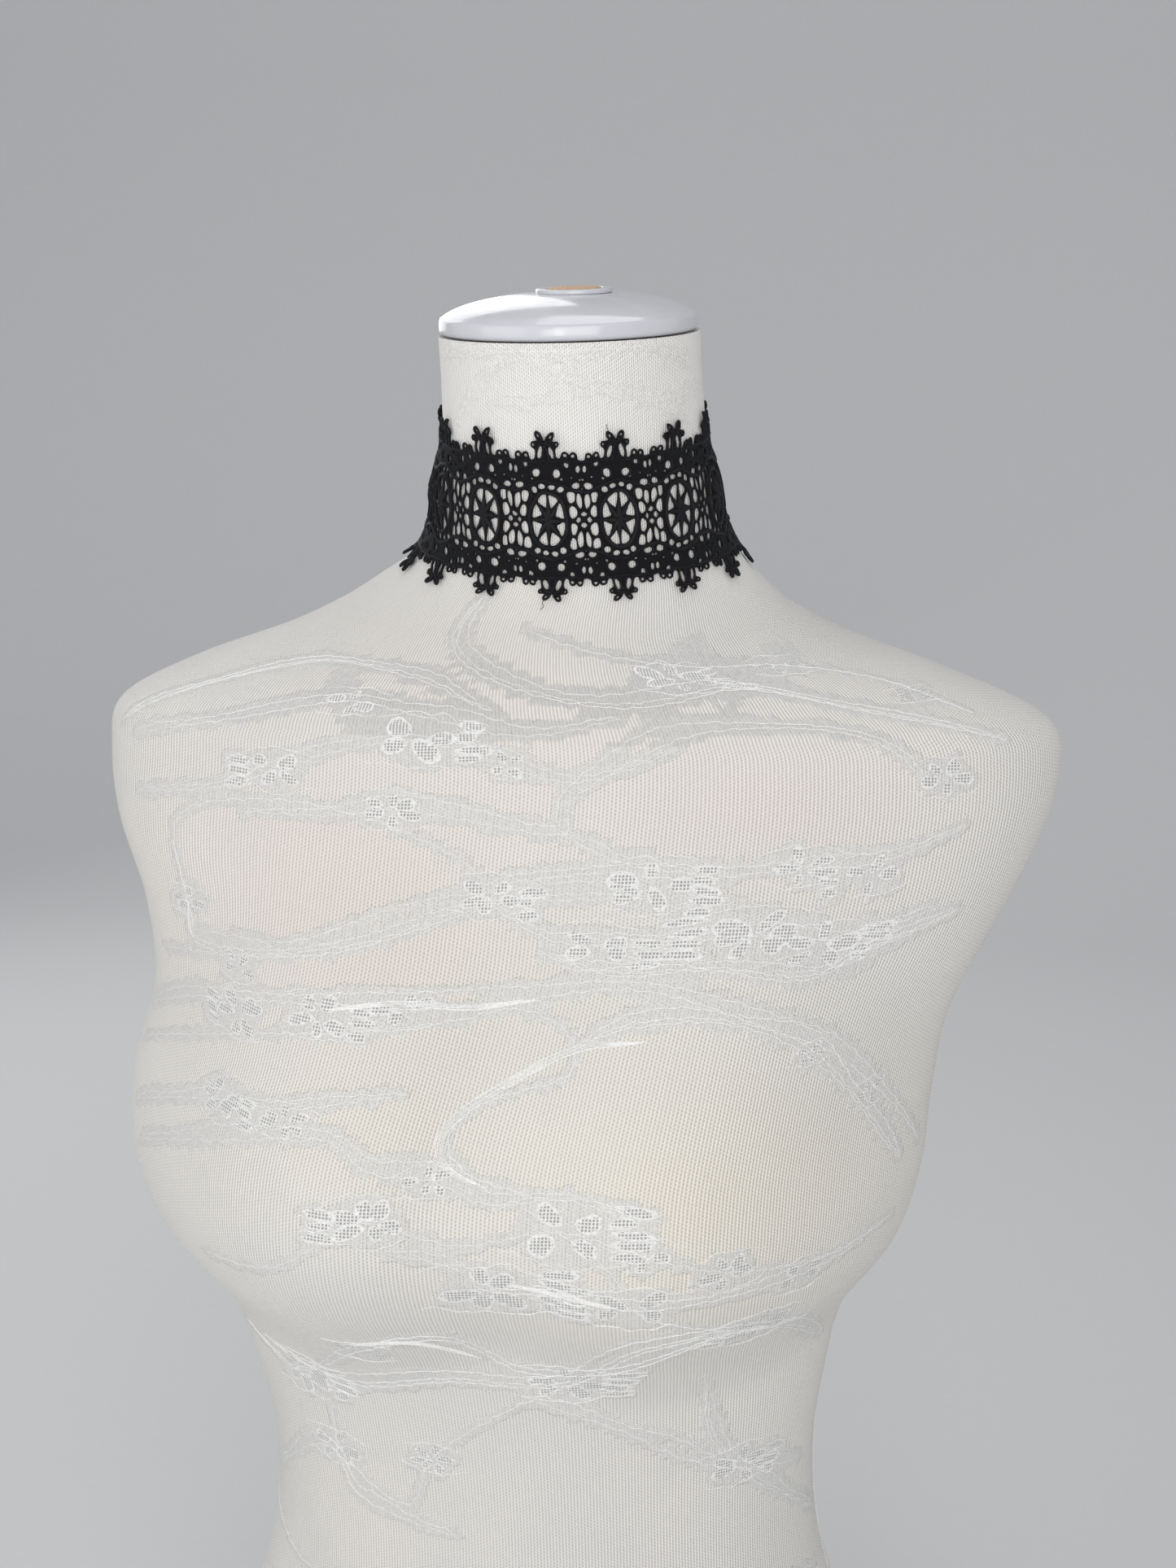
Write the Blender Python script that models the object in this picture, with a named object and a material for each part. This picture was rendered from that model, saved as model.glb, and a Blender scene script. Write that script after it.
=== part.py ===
"""Black guipure lace choker, closed round the neck of a white limbless dress form.

Metres, +Z up. The form faces -Y and stands on the plane Z = 0, with +X at the viewer's right.
The lace is charted flat in millimetres, with the middle of a wheel at 0, 0, and is then laid
round the neck: across the chart is along the neck, up the chart is up the neck.
"""

import math
from collections import namedtuple

import bmesh
import bpy
import numpy as np
from mathutils import Matrix, Vector
from mathutils.geometry import delaunay_2d_cdt

MM = 0.001

# Dress form
FORM_SIDES = 48
BUST_REACH = 0.037
BUST_APART = 0.073
BUST_MIDDLE = -0.014
BUST_HEIGHT = 0.360
BUST_SPREAD = 0.102
BUST_RISE = 0.135
BUST_DROP = 0.088
Section = namedtuple("Section", "height half_width front back centre aside tilt")
SECTIONS = [
    Section(0.000, 0.1590, 0.0960, 0.1060, -0.012, -0.0100, 0.00),
    Section(0.006, 0.1630, 0.0990, 0.1100, -0.012, -0.0100, 0.00),
    Section(0.060, 0.1610, 0.0990, 0.1140, -0.014, -0.0105, 0.00),
    Section(0.120, 0.1375, 0.0945, 0.1050, -0.018, -0.0110, 0.00),
    Section(0.175, 0.1215, 0.0880, 0.0900, -0.021, -0.0110, 0.00),
    Section(0.220, 0.1187, 0.0840, 0.0830, -0.023, -0.0120, 0.00),
    Section(0.260, 0.1250, 0.0850, 0.0840, -0.023, -0.0140, 0.00),
    Section(0.295, 0.1363, 0.0905, 0.0870, -0.022, -0.0169, 0.00),
    Section(0.325, 0.1607, 0.0970, 0.0910, -0.020, -0.0205, 0.00),
    Section(0.355, 0.1702, 0.1010, 0.0960, -0.017, -0.0210, 0.00),
    Section(0.385, 0.1713, 0.1010, 0.0990, -0.013, -0.0192, 0.00),
    Section(0.420, 0.1699, 0.0975, 0.0990, -0.008, -0.0116, 0.00),
    Section(0.455, 0.1805, 0.0910, 0.0960, -0.003, -0.0053, 0.00),
    Section(0.490, 0.1949, 0.0830, 0.0900, 0.001, -0.0030, 0.00),
    Section(0.520, 0.2003, 0.0780, 0.0820, 0.004, -0.0007, 0.00),
    Section(0.540, 0.1946, 0.0755, 0.0760, 0.005, -0.0012, 0.01),
    Section(0.556, 0.1613, 0.0725, 0.0710, 0.006, -0.0040, 0.03),
    Section(0.570, 0.1213, 0.0690, 0.0655, 0.006, -0.0051, 0.05),
    Section(0.582, 0.0960, 0.0650, 0.0600, 0.006, -0.0050, 0.07),
    Section(0.593, 0.0805, 0.0615, 0.0555, 0.005, -0.0030, 0.09),
    Section(0.604, 0.0675, 0.0588, 0.0525, 0.004, 0.0000, 0.10),
    Section(0.618, 0.0602, 0.0568, 0.0512, 0.002, 0.0005, 0.10),
    Section(0.634, 0.0575, 0.0552, 0.0506, 0.000, 0.0001, 0.10),
    Section(0.650, 0.0534, 0.0538, 0.0505, -0.002, 0.0000, 0.10),
    Section(0.666, 0.0526, 0.0528, 0.0508, -0.0035, -0.0005, 0.085),
    Section(0.680, 0.0522, 0.0523, 0.0513, -0.0052, -0.0010, 0.052),
    Section(0.6941, 0.0521, 0.0520, 0.0520, -0.0068, -0.0016, 0.027),
]
ROLL_FROM = 0.655
TOP_ROLL = 0.022

# Neck cap, with the ring and the wooden plug on it
CAP_RADIUS = 0.0516
CAP_RIM = 0.0052
CAP_DOME = 0.0102
CAP_STEPS = (0.965, 0.90, 0.80, 0.66, 0.50, 0.30, 0.0)
CAP_SIDES = 48
COLLAR_RADIUS = 0.0152
COLLAR_BORE = 0.0111
COLLAR_RISE = 0.0012
COLLAR_ASIDE = 0.0024
PLUG_RADIUS = 0.0108
PLUG_RISE = 0.0013
GAP = 0.0003

# Lace band: the chart is in millimetres, at its own pitch and rise, which the neck scales
CHART_PITCH = 28.3
CHART_RISE = 1.035
REPEATS = 12
PITCH_TOP = 26.6
PITCH_BOTTOM = 27.2
BODY_HALF = 22.5
LACE_THICK = 1.2
LACE_LIFT = 0.6
LACE_MIDDLE = 0.6310
LACE_TURN = math.radians(10.5)

# Closure at the back: a ring through the end gap of each half, and a clasp between the rings
END_LIFT = 2.6
END_SLOPE = 14.0
LINK_ROW = 7.1
LINK_IN = 1.7
LINK_RADIUS = 3.2
LINK_WIRE = 0.45
LINK_TILT = math.radians(45)
CLASP_THICK = 1.6
CLASP_EYE = 1.6

BLACK_THREAD = (0.010, 0.010, 0.012, 1)
WHITE_COVER = (0.80, 0.78, 0.74, 1)
WHITE_PLASTIC = (0.80, 0.80, 0.83, 1)
PLUG_WOOD = (0.62, 0.40, 0.24, 1)
GUN_METAL = (0.16, 0.16, 0.17, 1)


# Curves through the section table


def section_value(height, column):
    """A column of the section table at any height, on a smooth curve through its rows."""
    rows = SECTIONS
    height = min(max(height, rows[0].height), rows[-1].height)
    i = 0
    while i < len(rows) - 2 and height > rows[i + 1].height:
        i += 1

    def slope(k):
        low, high = max(k - 1, 0), min(k + 1, len(rows) - 1)
        rise = getattr(rows[high], column) - getattr(rows[low], column)
        return rise / (rows[high].height - rows[low].height)

    span = rows[i + 1].height - rows[i].height
    t = (height - rows[i].height) / span
    start, end = getattr(rows[i], column), getattr(rows[i + 1], column)
    return (
        start * (2 * t**3 - 3 * t**2 + 1)
        + end * (3 * t**2 - 2 * t**3)
        + slope(i) * span * (t**3 - 2 * t**2 + t)
        + slope(i + 1) * span * (t**3 - t**2)
    )


def roll_at(height):
    """How steeply a ring of the form rises towards +X: only the end of the neck is cut so."""
    return TOP_ROLL * max((height - ROLL_FROM) / (SECTIONS[-1].height - ROLL_FROM), 0)


def form_point(turn, height):
    """A point of the form's skin. The turn is from the front, -Y, towards +X."""
    depth = section_value(height, "front" if math.cos(turn) > 0 else "back")
    x = section_value(height, "half_width") * math.sin(turn)
    y = -depth * math.cos(turn)
    x += section_value(height, "aside")
    if math.cos(turn) > 0:
        rise = BUST_RISE if height > BUST_HEIGHT else BUST_DROP
        up = ((height - BUST_HEIGHT) / rise) ** 2
        for side in (-1, 1):
            out = ((x - BUST_MIDDLE - side * BUST_APART) / BUST_SPREAD) ** 2
            y -= BUST_REACH * math.cos(turn) ** 0.4 * max(1 - up - out, 0) ** 1.7
    z = height + y * section_value(height, "tilt") + x * roll_at(height)
    return Vector((x, y + section_value(height, "centre"), z))


# The neck as a surface that the lace is laid on


def length_along(points):
    return np.concatenate([[0.0], np.cumsum(np.linalg.norm(np.diff(points, axis=0), axis=1))])


def neck_rows():
    """Rings up the neck: their heights, how far each is up the slope from the lace's middle
    row, and the length round each ring from the front to every turn."""
    heights = np.arange(0.560, 0.692, 0.002)
    turns = np.linspace(-math.pi, math.pi, 181)
    rings = [np.array([form_point(turn, height) for turn in turns]) for height in heights]
    slopes = [length_along([ring[i] for ring in rings]) for i in range(0, 181, 15)]
    up = np.mean(slopes, axis=0)
    round_ring = [length_along(ring) for ring in rings]
    round_ring = [along - np.interp(0, turns, along) for along in round_ring]
    return heights, up - np.interp(LACE_MIDDLE, heights, up), turns, round_ring


NECK_HEIGHTS, NECK_UP, NECK_TURNS, NECK_ROUND = neck_rows()


def on_neck(across, up, lift):
    """The place of a chart point, in millimetres, that lies lift above the neck's skin."""
    row = float(np.interp(up * CHART_RISE * MM, NECK_UP, np.arange(len(NECK_UP))))
    low = min(int(row), len(NECK_UP) - 2)
    blend = 0.5 + 0.5 * up / BODY_HALF
    pitch = PITCH_BOTTOM + (PITCH_TOP - PITCH_BOTTOM) * blend
    turns = []
    for ring in (NECK_ROUND[low], NECK_ROUND[low + 1]):
        start = np.interp(LACE_TURN, NECK_TURNS, ring)
        turns.append(np.interp(start + across * MM * pitch / CHART_PITCH, ring, NECK_TURNS))
    turn = turns[0] + (turns[1] - turns[0]) * (row - low)
    height = NECK_HEIGHTS[low] + (NECK_HEIGHTS[1] - NECK_HEIGHTS[0]) * (row - low)
    here = form_point(turn, height)
    slope = form_point(turn, height + MM) - form_point(turn, height - MM)
    beside = form_point(turn + 0.01, height) - form_point(turn - 0.01, height)
    return here + beside.cross(slope).normalized() * lift * MM


def lace_lift(across):
    """How far the lace's inner face is above the skin: it rises towards its two ends."""
    past = (abs(across) - (REPEATS / 2 * CHART_PITCH - END_SLOPE)) / END_SLOPE
    past = min(max(past, 0.0), 1.0)
    return LACE_LIFT + (END_LIFT - LACE_LIFT) * past * past * (3 - 2 * past)


# Small helpers


def material(name, colour, roughness, metallic=0.0):
    made = bpy.data.materials.new(name)
    made.use_nodes = True
    shader = made.node_tree.nodes["Principled BSDF"]
    shader.inputs["Base Color"].default_value = colour
    shader.inputs["Roughness"].default_value = roughness
    shader.inputs["Metallic"].default_value = metallic
    made.diffuse_color = colour
    return made


def add_object(name, bm, finish, smooth_angle=math.radians(40)):
    """Makes an object of a finished bmesh, with its material and its shading."""
    bmesh.ops.recalc_face_normals(bm, faces=bm.faces)
    if bm.calc_volume(signed=True) < 0:
        bmesh.ops.reverse_faces(bm, faces=bm.faces)
    mesh = bpy.data.meshes.new(name)
    bm.to_mesh(mesh)
    bm.free()
    mesh.materials.append(finish)
    mesh.shade_smooth()
    mesh.set_sharp_from_angle(angle=smooth_angle)
    made = bpy.data.objects.new(name, mesh)
    bpy.context.scene.collection.objects.link(made)
    return made


def turned(name, profile, place, sides, finish):
    """A solid turned about the Z axis and then placed. The profile is (radius, height) pairs."""
    bm = bmesh.new()
    verts = [bm.verts.new((radius, 0, height)) for radius, height in profile]
    edges = [bm.edges.new(pair) for pair in zip(verts, verts[1:])]
    if profile[0][0] > 0 and profile[-1][0] > 0:
        edges.append(bm.edges.new((verts[-1], verts[0])))
    bmesh.ops.spin(
        bm, geom=verts + edges, axis=(0, 0, 1), cent=(0, 0, 0), steps=sides,
        angle=2 * math.pi, use_merge=True,
    )
    bmesh.ops.remove_doubles(bm, verts=bm.verts, dist=1e-6)
    bmesh.ops.transform(bm, matrix=place, verts=bm.verts)
    return add_object(name, bm, finish)


# The dress form


def form_levels():
    """The heights of the form's rings: each row of the table, and one between two rows."""
    levels = []
    for low, high in zip(SECTIONS, SECTIONS[1:]):
        levels += [low.height, 0.5 * (low.height + high.height)]
    return levels[:1] + levels[2:] + [SECTIONS[-1].height]


def build_form(finish):
    """A flat grid is wrapped round the form's skin, sewn up at the back and closed at both ends."""
    levels = form_levels()
    bm = bmesh.new()
    bmesh.ops.create_grid(bm, x_segments=FORM_SIDES, y_segments=len(levels) - 1, size=1)
    for vert in bm.verts:
        turn = vert.co.x * math.pi
        level = round((vert.co.y + 1) / 2 * (len(levels) - 1))
        vert.co = form_point(turn, levels[level])
    bmesh.ops.remove_doubles(bm, verts=bm.verts, dist=1e-5)
    bmesh.ops.holes_fill(bm, edges=[e for e in bm.edges if e.is_boundary])
    return add_object("form_body", bm, finish)


def build_cap(plastic, wood):
    """The domed cap that closes the neck, a low ring on it and the plug in the ring."""
    top = SECTIONS[-1]
    lean = Matrix.Rotation(math.atan(top.tilt), 4, "X")
    lean = lean @ Matrix.Rotation(-math.atan(TOP_ROLL), 4, "Y")
    middle = top.height + top.aside * TOP_ROLL
    seat = Matrix.Translation((top.aside, top.centre, middle)) @ lean
    seat = seat @ Matrix.Translation((0, 0, GAP))

    def dome_height(radius):
        return CAP_RIM + CAP_DOME * (1 - (radius / CAP_RADIUS) ** 2.3) ** 0.62

    dome = [CAP_RADIUS * share for share in CAP_STEPS]
    profile = [(0, 0), (CAP_RADIUS - 0.0012, 0), (CAP_RADIUS, 0.0012), (CAP_RADIUS, CAP_RIM)]
    profile += [(radius, dome_height(radius)) for radius in dome]
    turned("neck_cap", profile, seat, CAP_SIDES, plastic)

    seat = seat @ Matrix.Translation((COLLAR_ASIDE, 0, 0))
    foot = dome_height(COLLAR_BORE - COLLAR_ASIDE) + GAP
    rise = foot + COLLAR_RISE
    ring = [
        (COLLAR_BORE, foot), (COLLAR_RADIUS, foot),
        (COLLAR_RADIUS, rise - 0.0008), (COLLAR_RADIUS - 0.0008, rise), (COLLAR_BORE, rise),
    ]
    turned("cap_ring", ring, seat, 32, plastic)
    foot = dome_height(0) + GAP
    plug = [
        (0, foot), (PLUG_RADIUS, foot), (PLUG_RADIUS, foot + PLUG_RISE - 0.0008),
        (PLUG_RADIUS - 0.0010, foot + PLUG_RISE), (0, foot + PLUG_RISE + 0.0004),
    ]
    turned("cap_plug", plug, seat, 32, wood)


# The lace chart: holes and edge of a quarter of one repeat, in millimetres


HOLES = [
    [(0.7, 9.6), (2.9, 8.9), (4.6, 7.0), (1.7, 4.4)],
    [(5.4, 5.7), (6.3, 3.2), (6.6, 0.7), (3.3, 1.7)],
    [(7.7, 10.8), (10.5, 10.3), (10.1, 7.4), (7.9, 6.9), (6.4, 8.9)],
    [(8.9, 4.6), (10.3, 5.8), (11.4, 3.4), (10.3, 0.8), (9.1, 1.0)],
    [(12.4, 9.9), (13.6, 7.9), (12.9, 4.4), (11.2, 6.3), (11.3, 8.6)],
]
EDGE = [
    (0.0, 30.8), (1.8, 33.6), (3.6, 32.2), (3.4, 30.3), (5.4, 29.8), (5.6, 28.0),
    (4.6, 27.0), (4.8, 23.4), (6.6, 23.2), (7.0, 25.6), (9.4, 25.2), (12.0, 25.2),
    (12.4, 22.9), (14.15, 22.0),
]


def mirrored_holes():
    """All holes of one repeat, from the quarter that is charted."""
    for points in HOLES:
        for flip_x in (1, -1):
            for flip_y in (1, -1):
                yield [(flip_x * x, flip_y * y) for x, y in points]


def edge_of_half(first, last):
    """The upper edge from one repeat to another, left to right, each with its crown in the middle."""
    line = []
    for repeat in range(first, last):
        middle = (repeat + 0.5) * CHART_PITCH
        line += [(middle - x, y) for x, y in reversed(EDGE)]
        line += [(middle + x, y) for x, y in EDGE[1:-1]]
    return line + [(last * CHART_PITCH, EDGE[-1][1])]


def flat_plate(outlines, thick):
    """A flat plate in millimetres from an outline and the holes in it, in even triangles."""
    points, loops = [], []
    for line in outlines:
        loops.append(list(range(len(points), len(points) + len(line))))
        points += [Vector(point) for point in line]
    filled = delaunay_2d_cdt(points, [], loops, 2, 1e-6)
    flat, triangles = filled[0], filled[2]
    bm = bmesh.new()
    half = 0.5 * thick
    front = [bm.verts.new((x * MM, y * MM, half * MM)) for x, y in flat]
    back = [bm.verts.new((x * MM, y * MM, -half * MM)) for x, y in flat]
    for triangle in triangles:
        bm.faces.new([front[i] for i in triangle])
        bm.faces.new([back[i] for i in reversed(triangle)])
    number = {vert: i for i, vert in enumerate(front)}
    rim = [edge.verts for edge in bm.edges if edge.is_boundary and edge.verts[0] in number]
    for a, b in rim:
        bm.faces.new((a, b, back[number[b]], back[number[a]]))
    return bm


def build_lace(name, first, last, seam_first, seam_last, finish):
    """One half of the band: a flat plate with its holes, laid on the neck."""
    upper = edge_of_half(first, last)
    upper = [(first * CHART_PITCH + seam_first, EDGE[-1][1])] + upper[1:]
    upper[-1] = (last * CHART_PITCH - seam_last, EDGE[-1][1])
    outlines = [upper + [(x, -y) for x, y in reversed(upper)]]
    for repeat in range(first, last):
        middle = (repeat + 0.5) * CHART_PITCH
        outlines += [[(middle + x, y) for x, y in hole] for hole in mirrored_holes()]
    bm = flat_plate(outlines, LACE_THICK)
    bmesh.ops.triangulate(bm, faces=bm.faces)
    for vert in bm.verts:
        lift = lace_lift(vert.co.x / MM) + 0.5 * LACE_THICK + vert.co.z / MM
        vert.co = on_neck(vert.co.x / MM, vert.co.y / MM, lift)
    return add_object(name, bm, finish, math.radians(30))


# The closure


def end_of_lace(side):
    """The end of a half at the row of the links, with its directions: onward, up and out."""
    end = side * REPEATS / 2 * CHART_PITCH
    lift = END_LIFT + 0.5 * LACE_THICK
    row = LINK_ROW
    here = on_neck(end, row, lift)
    onward = (here - on_neck(end - side, row, lift)).normalized()
    upward = (on_neck(end, row + 1, lift) - here).normalized()
    outward = (onward.cross(upward) * side).normalized()
    return here, onward, outward.cross(onward).normalized() * side, outward


def build_link(name, side, finish):
    """A wire ring through the end gap of one half. Returns the place of its far side."""
    here, onward, upward, outward = end_of_lace(side)
    centre = here + onward * (LINK_RADIUS - LINK_IN) * MM
    slant = outward * math.cos(LINK_TILT) + upward * math.sin(LINK_TILT)
    axis = onward.cross(slant)
    bm = bmesh.new()
    sides, steps = 8, 24
    rows = []
    for i in range(steps):
        a = 2 * math.pi * i / steps
        spoke = onward * math.cos(a) + slant * math.sin(a)
        row = []
        for j in range(sides):
            b = 2 * math.pi * j / sides
            out = spoke * (LINK_RADIUS + LINK_WIRE * math.cos(b)) + axis * LINK_WIRE * math.sin(b)
            row.append(bm.verts.new(centre + out * MM))
        rows.append(row)
    for i in range(steps):
        for j in range(sides):
            near, far = rows[i], rows[(i + 1) % steps]
            bm.faces.new((near[j], near[(j + 1) % sides], far[(j + 1) % sides], far[j]))
    add_object(name, bm, finish)
    return centre + onward * LINK_RADIUS * MM, upward


def oval(x, half_length, half_width, sides):
    turns = [2 * math.pi * i / sides for i in range(sides)]
    return [(x + half_length * math.cos(a), half_width * math.sin(a)) for a in turns]


def build_closure(finish):
    """Two rings, and between them a clasp: a flat body with an eye and a longer opening."""
    eye, up_here = build_link("ring_left", -1, finish)
    hook, up_there = build_link("ring_right", 1, finish)
    reach = (hook - eye).length / MM
    middle = reach - 2.5
    body = oval(middle, 5.4, 4.4, 20)
    head = [(x, y) for x, y in oval(0, 2.9, 2.9, 14) if x < 1.2]
    neck = [(2.6, 2.0), (4.0, 2.1)]
    trunk = [(x, y) for x, y in body if x > 4.9]
    upper = sorted([(x, y) for x, y in head if y > 0.01]) + neck
    upper += sorted([(x, y) for x, y in trunk if y > 0.01])
    outline = [(-2.9, 0)] + upper + [(middle + 5.4, 0)] + [(x, -y) for x, y in reversed(upper)]
    openings = [oval(0, CLASP_EYE, CLASP_EYE, 12), oval(middle, 4.0, 2.7, 16)]
    bm = flat_plate([outline] + openings, CLASP_THICK)
    along = (hook - eye).normalized()
    outward = along.cross((up_here + up_there).normalized()).normalized()
    if outward.y < 0:
        outward = -outward
    upward = outward.cross(along)
    place = Matrix((along, upward, outward)).transposed().to_4x4()
    bmesh.ops.transform(bm, matrix=Matrix.Translation(eye) @ place, verts=bm.verts)
    return add_object("clasp", bm, finish)


def centre_over_base():
    """Moves everything level, so that the middle of the whole is over the middle of the base."""
    meshes = [o.data for o in bpy.data.objects if o.type == "MESH"]
    places = np.array([vert.co[:2] for mesh in meshes for vert in mesh.vertices])
    middle = 0.5 * (places.min(axis=0) + places.max(axis=0))
    for mesh in meshes:
        mesh.transform(Matrix.Translation((-middle[0], -middle[1], 0)))


def main():
    for old in list(bpy.data.objects):
        bpy.data.objects.remove(old)
    cover = material("white lace cover", WHITE_COVER, 0.85)
    plastic = material("white gloss plastic", WHITE_PLASTIC, 0.25)
    wood = material("plug wood", PLUG_WOOD, 0.6)
    thread = material("black thread", BLACK_THREAD, 0.7)
    build_form(cover)
    build_cap(plastic, wood)
    half = REPEATS // 2
    build_lace("lace_left", -half, 0, 0, 0.5 * GAP / MM, thread)
    build_lace("lace_right", 0, half, 0.5 * GAP / MM, 0, thread)
    build_closure(material("dark metal", GUN_METAL, 0.35, 1.0))
    centre_over_base()


if __name__ == "__main__":
    main()
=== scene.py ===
"""Looks of a black lace choker on a white dress form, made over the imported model's frame.

Metres, +Z up. The form faces -Y. The lace is charted flat in millimetres, with the middle of a
wheel at 0, 0, and is then laid round the neck: across the chart is along the neck.
"""

import math
from collections import namedtuple

import bmesh
import bpy
import numpy as np
from mathutils import Matrix, Vector
from mathutils.geometry import delaunay_2d_cdt
from mathutils.kdtree import KDTree


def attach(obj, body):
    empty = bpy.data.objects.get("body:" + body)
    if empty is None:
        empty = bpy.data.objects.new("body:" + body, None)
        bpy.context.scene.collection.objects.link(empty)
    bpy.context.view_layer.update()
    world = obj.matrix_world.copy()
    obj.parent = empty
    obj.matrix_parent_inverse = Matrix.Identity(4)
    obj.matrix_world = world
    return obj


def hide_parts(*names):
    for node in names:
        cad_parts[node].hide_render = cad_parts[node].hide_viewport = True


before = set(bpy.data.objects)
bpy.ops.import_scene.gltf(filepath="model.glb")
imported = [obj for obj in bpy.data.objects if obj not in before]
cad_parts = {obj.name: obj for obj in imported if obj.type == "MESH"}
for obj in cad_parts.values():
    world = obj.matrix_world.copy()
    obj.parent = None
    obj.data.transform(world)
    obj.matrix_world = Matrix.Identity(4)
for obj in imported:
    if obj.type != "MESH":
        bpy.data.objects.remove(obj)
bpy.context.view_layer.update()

bl_info = {
    "name": "Lace choker on a dress form",
    "version": (1, 0, 0),
    "blender": (4, 5, 0),
    "location": "View3D > Sidebar > Choker",
    "description": "Makes the lace choker, the covered dress form and the studio round them",
    "category": "Object",
}

MM = 0.001
BODY = "root"

# The dress form's section table, in metres, and its bust, as in the model
Section = namedtuple("Section", "height half_width front back centre aside tilt")
SECTIONS = [Section(*row) for row in [
    (0.000, 0.1590, 0.0960, 0.1060, -0.012, -0.0100, 0.00),
    (0.006, 0.1630, 0.0990, 0.1100, -0.012, -0.0100, 0.00),
    (0.060, 0.1610, 0.0990, 0.1140, -0.014, -0.0105, 0.00),
    (0.120, 0.1375, 0.0945, 0.1050, -0.018, -0.0110, 0.00),
    (0.175, 0.1215, 0.0880, 0.0900, -0.021, -0.0110, 0.00),
    (0.220, 0.1187, 0.0840, 0.0830, -0.023, -0.0120, 0.00),
    (0.260, 0.1250, 0.0850, 0.0840, -0.023, -0.0140, 0.00),
    (0.295, 0.1363, 0.0905, 0.0870, -0.022, -0.0169, 0.00),
    (0.325, 0.1607, 0.0970, 0.0910, -0.020, -0.0205, 0.00),
    (0.355, 0.1702, 0.1010, 0.0960, -0.017, -0.0210, 0.00),
    (0.385, 0.1713, 0.1010, 0.0990, -0.013, -0.0192, 0.00),
    (0.420, 0.1699, 0.0975, 0.0990, -0.008, -0.0116, 0.00),
    (0.455, 0.1805, 0.0910, 0.0960, -0.003, -0.0053, 0.00),
    (0.490, 0.1949, 0.0830, 0.0900, 0.001, -0.0030, 0.00),
    (0.520, 0.2003, 0.0780, 0.0820, 0.004, -0.0007, 0.00),
    (0.540, 0.1946, 0.0755, 0.0760, 0.005, -0.0012, 0.01),
    (0.556, 0.1613, 0.0725, 0.0710, 0.006, -0.0040, 0.03),
    (0.570, 0.1213, 0.0690, 0.0655, 0.006, -0.0051, 0.05),
    (0.582, 0.0960, 0.0650, 0.0600, 0.006, -0.0050, 0.07),
    (0.593, 0.0805, 0.0615, 0.0555, 0.005, -0.0030, 0.09),
    (0.604, 0.0675, 0.0588, 0.0525, 0.004, 0.0000, 0.10),
    (0.618, 0.0602, 0.0568, 0.0512, 0.002, 0.0005, 0.10),
    (0.634, 0.0575, 0.0552, 0.0506, 0.000, 0.0001, 0.10),
    (0.650, 0.0534, 0.0538, 0.0505, -0.002, 0.0000, 0.10),
    (0.666, 0.0526, 0.0528, 0.0508, -0.0035, -0.0005, 0.085),
    (0.680, 0.0522, 0.0523, 0.0513, -0.0052, -0.0010, 0.052),
    (0.6941, 0.0521, 0.0520, 0.0520, -0.0068, -0.0016, 0.027),
]]
TOP = SECTIONS[-1]
ROLL_FROM = 0.655
TOP_ROLL = 0.022
BUST_REACH = 0.037
BUST_APART = 0.073
BUST_MIDDLE = -0.014
BUST_HEIGHT = 0.360
BUST_SPREAD = 0.102
BUST_RISE = 0.135
BUST_DROP = 0.088
SHIFT = np.array([0.0007, 0.023852, 0.0])  # the model's middle stands over the origin

# Neck cap, in metres
CAP_RADIUS = 0.0516
CAP_RIM = 0.0052
CAP_DOME = 0.0102
COLLAR_RADIUS = 0.0152
COLLAR_BORE = 0.0111
COLLAR_RISE = 0.0012
COLLAR_ASIDE = 0.0024
PLUG_RADIUS = 0.0108
PLUG_RISE = 0.0013
PLUG_SOFT = 0.0005
CAP_BEAD = 0.0022
GAP = 0.0003

# Lace band: the chart is in millimetres, at its own pitch and rise, which the neck scales
CHART_PITCH = 28.3
CHART_RISE = 1.035
REPEATS = 12
LACE_END = REPEATS / 2 * CHART_PITCH
PITCH_TOP = 26.6
PITCH_BOTTOM = 27.2
BODY_HALF = 22.5
LACE_CLOTH = 0.62  # the share of the band's rectangle that is thread
LACE_LIFT = 0.6
LACE_MIDDLE = 0.6310
LACE_TURN = math.radians(10.5)
END_LIFT = 2.6
END_SLOPE = 14.0
LINK_ROW = 7.1
LINK_IN = 1.7
LINK_RADIUS = 3.2
LINK_WIRE = 0.45
LINK_TILT = math.radians(45)

# Camera: its place, and the way it looks
EYE = Vector((0.1326, -0.9219, 0.7483))
EYE_TURN = math.radians(7.64)
EYE_DOWN = math.radians(14.2)
LENS = 53.80


# Curves through the section table


def slope_at(k, column):
    """How fast a column of the table changes with height at one of its rows."""
    low, high = SECTIONS[max(k - 1, 0)], SECTIONS[min(k + 1, len(SECTIONS) - 1)]
    return (getattr(high, column) - getattr(low, column)) / (high.height - low.height)


def smooth_column(column, heights):
    """A column of the section table at many heights, on a smooth curve through its rows."""
    values = []
    for height in heights:
        i = 0
        while i < len(SECTIONS) - 2 and height > SECTIONS[i + 1].height:
            i += 1
        low, high = SECTIONS[i], SECTIONS[i + 1]
        span = high.height - low.height
        t = (height - low.height) / span
        values.append(
            getattr(low, column) * (2 * t**3 - 3 * t**2 + 1)
            + getattr(high, column) * (3 * t**2 - 2 * t**3)
            + slope_at(i, column) * span * (t**3 - 2 * t**2 + t)
            + slope_at(i + 1, column) * span * (t**3 - t**2)
        )
    return np.array(values)


FINE_HEIGHTS = np.linspace(0, TOP.height, 1389)  # half a millimetre apart
COLUMNS = {name: smooth_column(name, FINE_HEIGHTS) for name in Section._fields[1:]}


def column(name, height):
    return np.interp(height, FINE_HEIGHTS, COLUMNS[name])


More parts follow.
